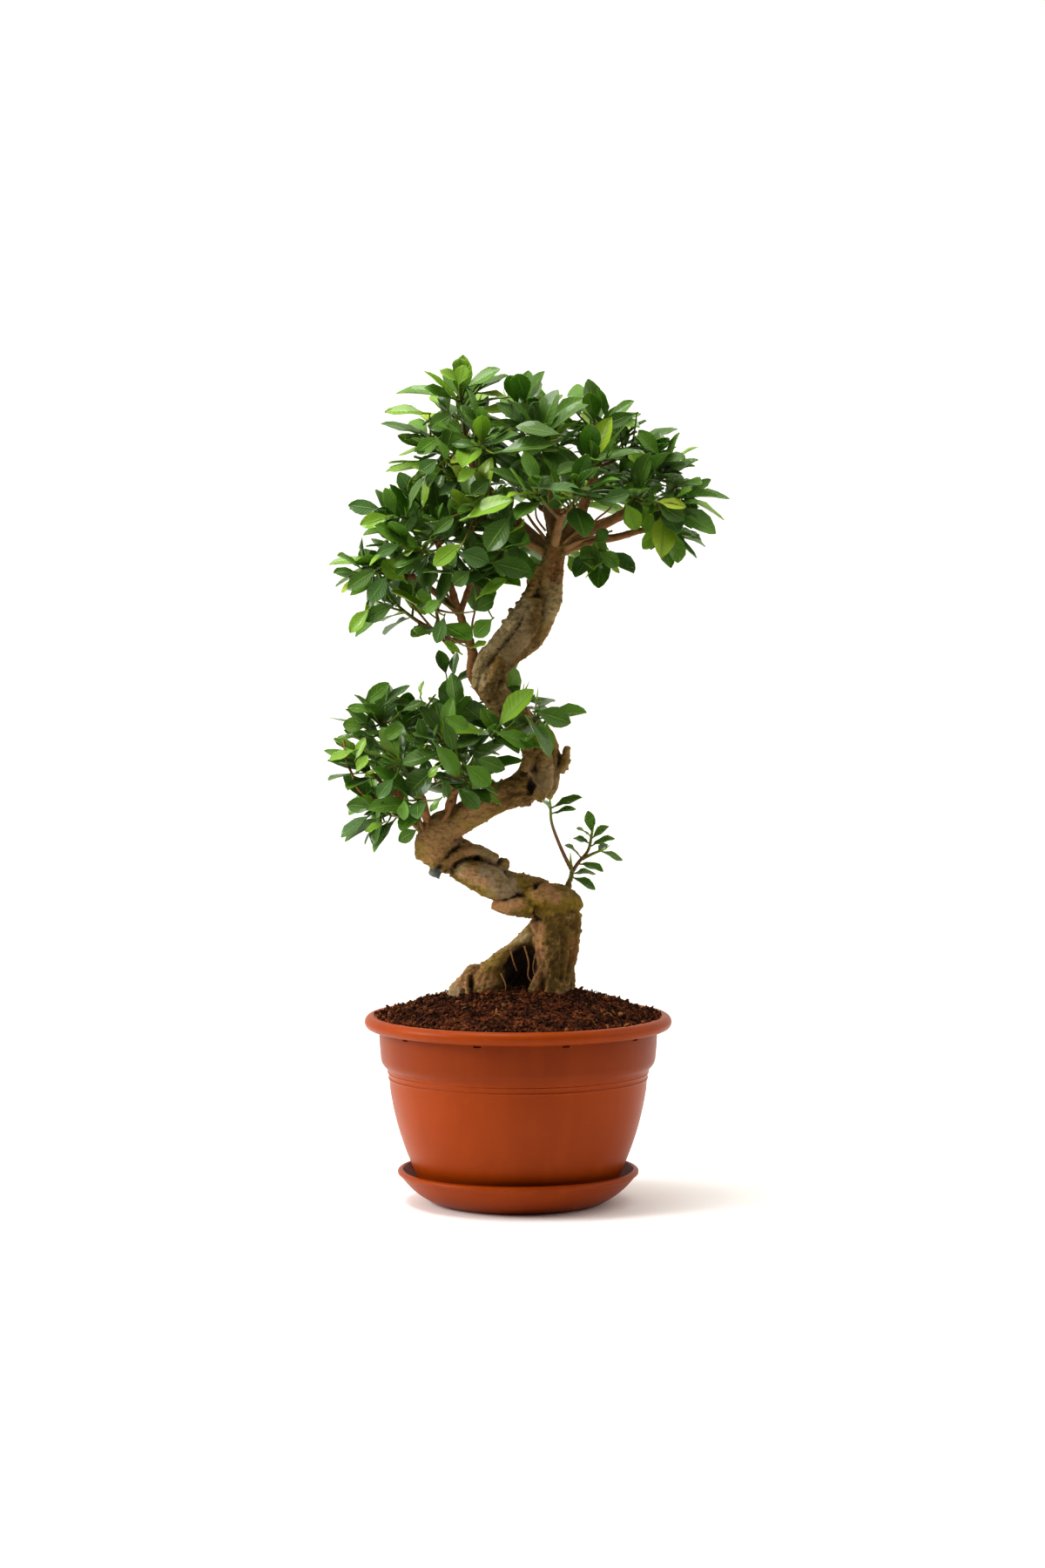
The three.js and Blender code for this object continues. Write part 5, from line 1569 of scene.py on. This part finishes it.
# %% [markdown]
# The photograph fixes where such a leaf is across and up, but not its depth. So it moves forwards until
# nothing touches or hides it, though never further than its reach from the shoot that bears it.

# %% Standing them in front
SEEN_ROOM = 3.0
SEEN_SEARCH = 9
SEEN_REACH = 36
FRONT_LIMIT = -112
SEEN_NEAR = np.array([1.5, 1, 1.5])


class SeenLeaf(Leaf):
    """A leaf as it is seen from the front, turned on its heading until it is as wide as it looks."""

    def __init__(self, x, z, tip_x, tip_z, width):
        heading = np.array([tip_x - x, 0, tip_z - z], float)
        length = np.linalg.norm(heading)
        seen = min(max(width / (LEAF_WIDTH * max(length, 26)), 0.25), 0.96)
        upwards = np.array([-heading[2], 0, heading[0]]) / length
        upwards *= 1 if upwards[2] > 0 else -1
        face = upwards * math.sqrt(1 - seen ** 2) - np.array([0, seen, 0])
        super().__init__(np.array([x, 0, z], float), heading, face, length * 1.04)
        self.arch = 0.06
        self.broad = max(1, width / (LEAF_WIDTH * length))

    def stand_before(self, room, pad):
        """Moves the leaf to the front of all that it would touch or be hidden by."""
        rows = room.rows[:room.count]
        spots = np.array([self.spot(*share) for share in LEAF_SPOTS[3:]])
        touching = (np.abs(spots[:, None, 0] - rows[None, :, 0]) < SEEN_ROOM + 1) \
            & (np.abs(spots[:, None, 2] - rows[None, :, 2]) < SEEN_ROOM + 1)
        hiding = rows[touching.any(axis=0)]
        front = min(hiding[:, 1].min() - SEEN_ROOM, -12) if len(hiding) else -25
        near = [(np.linalg.norm((spray.way.point(share) - self.root)[[0, 2]]), spray.way.point(share)[1])
                for spray in sprays if spray.pad == pad for share in np.linspace(spray.cut, 0.97, 6)]
        behind = min(y for far, y in near if far < min(near)[0] + SEEN_SEARCH)
        self.root[1] = max(front + 2, FRONT_LIMIT, behind - SEEN_REACH)


seen_leaves = [(pad, *row) for pad, rows in SEEN_LEAVES.items() for row in rows]
for pad, kind, *seen in seen_leaves:
    leaf = SeenLeaf(*seen)
    leaf.stand_before(room, pad)
    leaf.kind = kind
    near = [(np.linalg.norm((spray.way.point(share) - leaf.root) * SEEN_NEAR), spray.number, share)
            for spray in sprays if spray.pad == pad for share in np.linspace(spray.cut, 0.97, 6)]
    far, number, share = min(near)
    leaf.twig = share
    sprays[number].leaves.append(leaf)
    room.take_leaf(leaf, number)
# the topmost leaf stays a millimetre lower, inside the solids' box
topmost = max((leaf for spray in sprays for leaf in spray.leaves[:6]), key=lambda leaf: leaf.spot(1)[2])
topmost.kind = "bright"
topmost.length -= 1
foremost = min(leaf.root[1] for spray in sprays for leaf in spray.leaves)
print(len(seen_leaves), "leaves stand in front, the foremost at", round(foremost))

# %% [markdown]
# The real plant has about five times the leaves of its solids. Short side shoots fill the space between the
# sprays, and all new leaves stay inside the outline of their pad as it is seen from the front.

# %% The outlines of the pads
OUTLINES = {
    "crown": [
        (-36, 689), (-58, 689), (-60, 676), (-100, 669), (-100, 663), (-86, 650), (-109, 642), (-109, 633),
        (-99, 620), (-99, 610), (-107, 600), (-104, 593), (-90, 588), (-75, 570), (-62, 545), (-66, 520),
        (-40, 512), (-20, 502), (0, 505), (13, 514), (14, 530), (0, 545), (4, 566), (40, 570), (84, 570),
        (80, 548), (52, 545), (38, 536), (38, 520), (50, 511), (62, 504), (80, 509), (96, 515), (100, 531),
        (112, 532), (120, 518), (134, 519), (149, 527), (158, 546), (170, 562), (171, 580), (158, 590),
        (143, 612), (130, 631), (108, 641), (99, 649), (74, 655), (70, 668), (52, 670), (40, 664), (24, 669),
        (14, 680), (0, 679), (-14, 678)],
    "middle": [
        (-60, 600), (-100, 593), (-131, 574), (-135, 561), (-127, 547), (-135, 537), (-152, 527), (-152, 503),
        (-139, 498), (-122, 489), (-134, 468), (-132, 462), (-117, 470), (-92, 484), (-86, 460), (-70, 456),
        (-60, 449), (-46, 442), (-30, 448), (-22, 463), (-17, 484), (-10, 500), (8, 507), (12, 530), (0, 560),
        (-30, 600)],
    "lower": [
        (-150, 380), (-139, 407), (-124, 422), (-90, 425), (-72, 430), (-69, 449), (-52, 449), (-46, 432),
        (-36, 418), (-20, 410), (0, 419), (10, 419), (16, 411), (30, 409), (41, 403), (41, 391), (22, 393),
        (26, 370), (10, 370), (0, 375), (-20, 373), (-11, 360), (-16, 351), (-23, 346), (0, 331), (-2, 326),
        (-30, 323), (-60, 320), (-66, 330), (-80, 318), (-82, 302), (-95, 299), (-100, 310), (-117, 288),
        (-142, 298), (-144, 306), (-135, 320), (-137, 331), (-120, 345), (-140, 352), (-150, 363)],
}
GAPS = [(10, 524, 98, 566), (-70, 452, -34, 505), (-34, 440, 60, 500), (-92, 470, -66, 492),
        (-14, 354, 30, 366), (-104, 306, -50, 334)]
print(len(OUTLINES), "pads have an outline, and", len(GAPS), "gaps show the wood")

# %% [markdown]
# A side shoot leans away from its spray's twig and bears a few leaves by the same turn. A new leaf stays only
# where it looks right from the front and has room, and each has a few attempts.

# %% The leaves between them
MOST_LEAVES = 14
SIDE_SHOOTS = 3
SIDE_LEAVES = 6
SIDE_STEP = 3.4
SIDE_CLEAR = (3.0, 3.6, 2.1)
TWIG_CLEAR = (3.0, 3.4, 2.2)


def inside(outline, x, z):
    """True where a spot, seen from the front, lies inside an outline."""
    crossings = 0
    for (x0, z0), (x1, z1) in zip(outline, outline[1:] + outline[:1]):
        if (z0 > z) != (z1 > z) and x < x0 + (x1 - x0) * (z - z0) / (z1 - z0):
            crossings += 1
    return crossings % 2 == 1


def looks_right(pad, leaf):
    """True where a leaf stays inside its pad's outline, and out of the gaps that show the wood."""
    for spot in (leaf.spot(0.35), leaf.spot(0.6, -0.9), leaf.spot(0.6, 0.9), leaf.spot(0.8), leaf.spot(1)):
        x, y, z = spot
        hidden = any(x0 < x < x1 and z0 < z < z1 and y < 20 for x0, z0, x1, z1 in GAPS)
        if hidden or not inside(OUTLINES[pad], x, z):
            return False
    return True


class SideShoot:
    def __init__(self, spray, order):
        start = spray.cut + (1 - spray.cut) * (0.12 + 0.28 * order)
        self.number = spray.number
        self.key = spray.number * 7 + order + 100
        along = spray.way.heading(start)
        turn = order * GOLDEN_TURN + self.key
        lean = 0.8 + 0.5 * chance(self.key, 1, 1)
        ahead = leaning(along, lean, turn)
        self.length = 15 + 13 * chance(self.key, 2, 2)
        root = spray.way.point(start)
        tip = root + unit(ahead + [0, 0, 0.3]) * self.length
        self.way = TwigWay(root, (root + tip) / 2 - [0, 0, 0.08 * self.length], tip)
        self.leaves = []


def filler_leaf(twig, key, step, order, attempt):
    """A leaf on a twig by the rule, with a face that looks up and a heading of its own."""
    share = max(1 - (0.5 + step * order) / twig.length, 0.1)
    along = twig.way.heading(share)
    turn = order * GOLDEN_TURN + key + attempt * 0.7
    lean = min(0.35 + 0.2 * order + 0.5 * chance(key, order + attempt, 3), 1.75)
    heading = leaning(along, lean, turn)
    luck = [chance(key, order, use) - 0.5 for use in (4, 5, 6)]
    face = along * 0.3 + [luck[0] * 1.1, luck[1] * 1.1 - 0.25, 1]
    leaf = Leaf(twig.way.point(share), heading, face, LEAF_LENGTH * (0.64 + 0.3 * luck[2]))
    leaf.arch = 0.05 + 0.16 * chance(key, order, 7)
    return leaf


def fill(spray, twig, key, step, order, attempts, clearances):
    for attempt in range(attempts):
        leaf = filler_leaf(twig, key, step, order, attempt)
        if looks_right(spray.pad, leaf) and room.clear(leaf, spray.number, *clearances):
            room.take_leaf(leaf, spray.number)
            spray.leaves.append(leaf)
            twig.leaves.append(leaf)
            return


for spray in sprays:
    spray.shoots = [SideShoot(spray, order) for order in range(SIDE_SHOOTS)]
for order in range(SIDE_LEAVES):
    for spray in sprays:
        for shoot in spray.shoots:
            fill(spray, shoot, shoot.key, SIDE_STEP, order, 5, SIDE_CLEAR)
for order in range(12):
    for spray in sprays:
        if len(spray.leaves) - sum(len(shoot.leaves) for shoot in spray.shoots) < MOST_LEAVES:
            fill(spray, spray, spray.number, LEAF_STEP * 0.6, order + 0.5, 6, TWIG_CLEAR)
for spray in sprays:
    spray.shoots = [shoot for shoot in spray.shoots if len(shoot.leaves) > 1 or not shoot.leaves]
all_leaves = sum(len(spray.leaves) for spray in sprays)
print(all_leaves, "leaves in all,", all_leaves - solid_leaves, "of them new")

# %% [markdown]
# One leaf is a grid of four by seven faces, given a thickness while it is still flat, so its own map is
# simply the grid's place. Each leaf is then a copy that is bent: narrow at the stalk, widest past the middle,
# folded along its midrib, wavy at the edge and drooping to a small point.

# %% The leaf template
BLADE_SHARES = np.array([0, 0.15, 0.28, 0.44, 0.61, 0.79, 0.93, 1])
BLADE_WIDTHS = np.array([0.06, 0.065, 0.4, 0.8, 0.96, 0.82, 0.42, 0.05])
BLADE_THICKS = np.array([0.6, 0.5, 0.26, 0.18, 0.18, 0.18, 0.16, 0.12])


def blade_template():
    shape = bmesh.new()
    bmesh.ops.create_grid(shape, x_segments=4, y_segments=len(BLADE_SHARES) - 1, size=1)
    bmesh.ops.translate(shape, verts=shape.verts, vec=(0, 0, -0.5))
    bmesh.ops.solidify(shape, geom=shape.faces, thickness=1)
    bmesh.ops.recalc_face_normals(shape, faces=shape.faces)
    blade = shape.loops.layers.uv.new("blade")
    for name in LEAF_VALUES:
        shape.verts.layers.float.new(name)
    under = shape.verts.layers.float["under"]
    for vert in shape.verts:
        vert[under] = float(vert.co.z < -0.01)
    for face in shape.faces:
        for loop in face.loops:
            loop[blade].uv = (loop.vert.co.x / 2 + 0.5, loop.vert.co.y / 2 + 0.5)
    return as_mesh("blade_template", shape)


BLADE = blade_template()
spots = np.array([vert.co for vert in BLADE.vertices])
ACROSS = spots[:, 0]
ROW = np.rint((spots[:, 1] + 1) / 2 * (len(BLADE_SHARES) - 1)).astype(int)
OVER = np.sign(spots[:, 2] - spots[:, 2].mean())
print("a leaf has", len(BLADE.polygons), "faces, from", spots.min(axis=0), "to", spots.max(axis=0))

# %% [markdown]
# Bending works on all points of a leaf at once. Each row of the grid has its share of the length and its
# width, and a few draws per leaf give the fold, the wave and the sway, so no two leaves are alike.

# %% Bending a leaf
def bent(leaf, luck):
    """The places of the template's points on one leaf. Its luck gives its fold, wave and sway."""
    share = BLADE_SHARES[ROW]
    half = ACROSS * BLADE_WIDTHS[ROW] * LEAF_WIDTH * leaf.length / 2 * leaf.broad * (0.92 + 0.14 * luck(1))
    fold = 0.14 + 0.26 * luck(2)
    wave = np.sin(share * (9 + 5 * luck(3)) + 6 * luck(4)) * 0.7 * ACROSS ** 2 * (share > 0.2)
    rise = OVER * BLADE_THICKS[ROW] + fold * np.abs(half) * (share > 0.2) + wave
    droop = leaf.arch * leaf.length * share ** 2
    sway = (luck(5) - 0.5) * 0.10 * leaf.length * share ** 2
    return (leaf.root + np.outer(share * leaf.length, leaf.heading) + np.outer(half + sway, leaf.side)
            + np.outer(rise - droop, leaf.face))


def add_leaf(shape, leaf, age, tone, luck):
    known = len(shape.verts)
    shape.from_mesh(BLADE)
    shape.verts.ensure_lookup_table()
    layers = shape.verts.layers.float
    for vert, spot in zip(shape.verts[known:], bent(leaf, luck)):
        vert.co = spot
        vert[layers["age"]] = age
        vert[layers["tone"]] = tone


print("leaves can be bent")

# %% [markdown]
# A shoot carries its leaves to the tip and ends in the pointed sheath of the next leaf. It thickens a little
# at every leaf, where the old sheath left its ring.

# %% Shoots
BUD_LENGTH = 9


def add_shoot(shape, way, length, root, tip, age, bud=True):
    """A shoot, and the bud on its tip."""
    known = len(shape.verts)
    pour(shape, stem(way, shoot_radius(length, root, tip), 8, max(int(length / 2.6), 4)))
    shape.verts.ensure_lookup_table()
    wood = shape.verts.layers.float["wood"]
    end = way.point(1)
    for vert in shape.verts[known:]:
        vert[wood] = max(0.12, 1 - 0.9 * age - (1 - min((vert.co - Vector(end)).length / 30, 1)) * 0.6)
    if not bud:
        return
    onward = way.heading(1)
    sheath = SmoothWay([end, end + onward * BUD_LENGTH / 2, end + (onward + [0, 0, 0.2]) * BUD_LENGTH])
    known = len(shape.verts)
    pour(shape, stem(sheath, lambda share, turn: tip * (1.05 - 0.95 * share ** 1.4), 8, 5))
    shape.verts.ensure_lookup_table()
    for vert in shape.verts[known:]:
        vert[shape.verts.layers.float["age"]] = 0.75
        vert[shape.verts.layers.float["tone"]] = 0.6


def leafy():
    """An empty shape with the values that the leaf finish reads."""
    shape = bmesh.new()
    shape.loops.layers.uv.new("blade")
    for name in LEAF_VALUES:
        shape.verts.layers.float.new(name)
    return shape


def spray_shape(spray):
    shape = leafy()
    start = spray.cut - 1.5 / spray.length
    add_shoot(shape, Stretch(spray.way, start, 1), spray.length * (1 - start), 1.75, 1.05, 0.2)
    for shoot in spray.shoots:
        if shoot.leaves:
            add_shoot(shape, shoot.way, shoot.length, 1.0, 0.7, 0.45)
    for order, leaf in enumerate(spray.leaves):
        key = spray.number * 40 + order
        age, tone = KINDS[leaf.kind] if leaf.kind else (0.95 * chance(key, 3, 3) ** 3.2, chance(key, 5, 7))
        add_leaf(shape, leaf, age, tone, lambda use, key=key: chance(key, use, 11))
        if leaf.twig is not None:
            root = spray.way.point(leaf.twig)
            reach = np.linalg.norm(leaf.root - root)
            way = TwigWay(root, (root + leaf.root) / 2 - [0, 0, 0.12 * reach], leaf.root + leaf.heading * 1.5)
            add_shoot(shape, way, reach, 0.9, 0.55, 0.3, bud=False)
    return shape


print("a bud is", BUD_LENGTH, "mm long")

# %% [markdown]
# Each spray is one piece: its shoot, its side shoots and its leaves. It stands for the solid of the same
# name.

# %% The sprays
pads = {}
for spray in sprays:
    pads[spray.pad] = pads.get(spray.pad, 0) + 1
    node = f"{spray.pad}_spray_{pads[spray.pad]:02d}"
    show(node + "_leaves", spray_shape(spray), LEAF, "leaf", node, crisp=50)
print(pads, "sprays,", sum(count for name, count in TRIANGLES.items() if "spray" in name), "triangles")

# %% [markdown]
# The sprout on the knee is a young shoot with small bright leaves, on four thin green stems.

# %% The knee sprout
SPROUT_STEMS = [
    [2, 1.5, [[42, -1, 262], [43.5, -1, 268], [43, -2, 275]]],
    [1.6, 1.3, [[43, -1, 272], [38, -6, 282], [32, -12, 296], [27, -18, 311], [26, -21, 324]]],
    [1.6, 1.3, [[43, -1, 268], [49, 0, 277], [57, 1, 287], [60, 1, 301]]],
    [1.4, 1.2, [[52, 0, 280], [60, -2, 284], [67, -4, 287]]],
]

SPROUT_LEAVES = [
    [1, 0.97, [50, -25, 334]], [1, 0.88, [45, -29, 325]], [1, 0.94, [20, -34, 333]],
    [2, 0.97, [58, -1, 319]], [2, 0.93, [49, -8, 307]], [2, 0.88, [73, 8, 308]], [2, 0.8, [45, 8, 298]],
    [2, 0.74, [77, -4, 299]], [3, 0.96, [85, -7, 281]], [3, 0.8, [72, 9, 293]], [2, 0.45, [40, -10, 294]],
    [2, 0.3, [69, -11, 274]], [0, 0.5, [63, 6, 270]], [0, 0.3, [63, -9, 258]],
]


def sprout_shape():
    shape = leafy()
    ways = [SmoothWay(spots) for _, _, spots in SPROUT_STEMS]
    for way, (root, tip, spots) in zip(ways, SPROUT_STEMS):
        length = sum(np.linalg.norm(np.subtract(b, a)) for a, b in zip(spots, spots[1:]))
        add_shoot(shape, way, length, root, tip * 0.8, 0.1)
    for order, (number, share, tip) in enumerate(SPROUT_LEAVES):
        root = ways[number].point(share)
        ahead = np.array(tip, float) - root
        leaf = Leaf(root, ahead, np.array([0, -0.5, 1]), np.linalg.norm(ahead))
        age = 0.15 + 0.3 * chance(order, 2, 9)
        tone = 0.35 + 0.4 * chance(order, 4, 4)
        add_leaf(shape, leaf, age, tone, lambda use, k=order: chance(900 + k, use, 5))
    return shape


show("knee_sprout_leaves", sprout_shape(), LEAF, "leaf", "knee_sprout", crisp=50)
print(len(SPROUT_LEAVES), "leaves on the sprout")

# %% [markdown]
# The plant stands on a plain white floor under soft studio light: a large softbox on the left, a weaker one
# on the right, one above, and a white surrounding that fills the shadows.

# %% Floor and light
FLOOR_SIZE = 1.1
FLOOR_COLOUR = (0.93, 0.93, 0.93, 1)
WALL_LIGHT = 1.08
ROOM_LIGHT = 0.1
LIT_SPOT = Vector((0, 0, 0.33))
WORLD_COLOUR = (1, 0.97, 0.9, 1)
SCREEN_GAMMA = 0.88


def floor_finish():
    material, place = start_finish("white_floor")
    return close_finish(material, place, FLOOR_COLOUR, 0.7)


floor_shape = bmesh.new()
bmesh.ops.create_grid(floor_shape, x_segments=2, y_segments=2, size=FLOOR_SIZE)
floor = placed("floor", as_mesh("floor", floor_shape))
floor.data.materials.append(floor_finish())

SOFTBOXES = {
    # the spot, the size in metres and the watts of each
    "left_softbox": ((-2.0, -0.45, 1.1), 1.0, 48),
    "right_softbox": ((2.0, -0.1, 1.0), 1.0, 7),
    "top_softbox": ((-0.4, -0.1, 2.3), 1.0, 42),
}
for name, (spot, size, watts) in SOFTBOXES.items():
    lamp = bpy.data.lights.new(name, "AREA")
    lamp.size = size
    lamp.energy = watts
    lamp_object = placed(name, lamp)
    lamp_object.location = spot
    aim = LIT_SPOT - Vector(spot)
    lamp_object.rotation_euler = aim.to_track_quat("-Z", "Y").to_euler()


def surroundings():
    """A white backdrop and ceiling, and a dimmer room in front. The camera sees all of it in the same white."""
    world = bpy.data.worlds.new("surroundings")
    world.use_nodes = True
    tree = world.node_tree
    ahead = Flow(tree.nodes.new("ShaderNodeTexCoord").outputs["Generated"])
    depth = ahead.node("SeparateXYZ", None, {0: ahead}, out=1)
    height = ahead.node("SeparateXYZ", None, {0: ahead}, out=2)
    bright = (depth + height * 0.8).ramp(-0.55, 0.25)
    background = tree.nodes["Background"]
    background.inputs["Color"].default_value = WORLD_COLOUR
    seen = Flow(tree.nodes.new("ShaderNodeLightPath").outputs["Is Camera Ray"])
    strength = (bright * WALL_LIGHT + ROOM_LIGHT) * (1 - seen) + seen * (WALL_LIGHT + ROOM_LIGHT)
    tree.links.new(strength.socket, background.inputs["Strength"])
    return world


bpy.context.scene.world = surroundings()
bpy.context.scene.view_settings.view_transform = "Standard"
bpy.context.scene.view_settings.gamma = SCREEN_GAMMA
print(len(SOFTBOXES), "softboxes")

# %% [markdown]
# The triangles of all the pieces are added up. The fine pieces may not grow out of the
# solids' box.

# %% Triangles
print(sum(TRIANGLES.values()), "triangles in all")
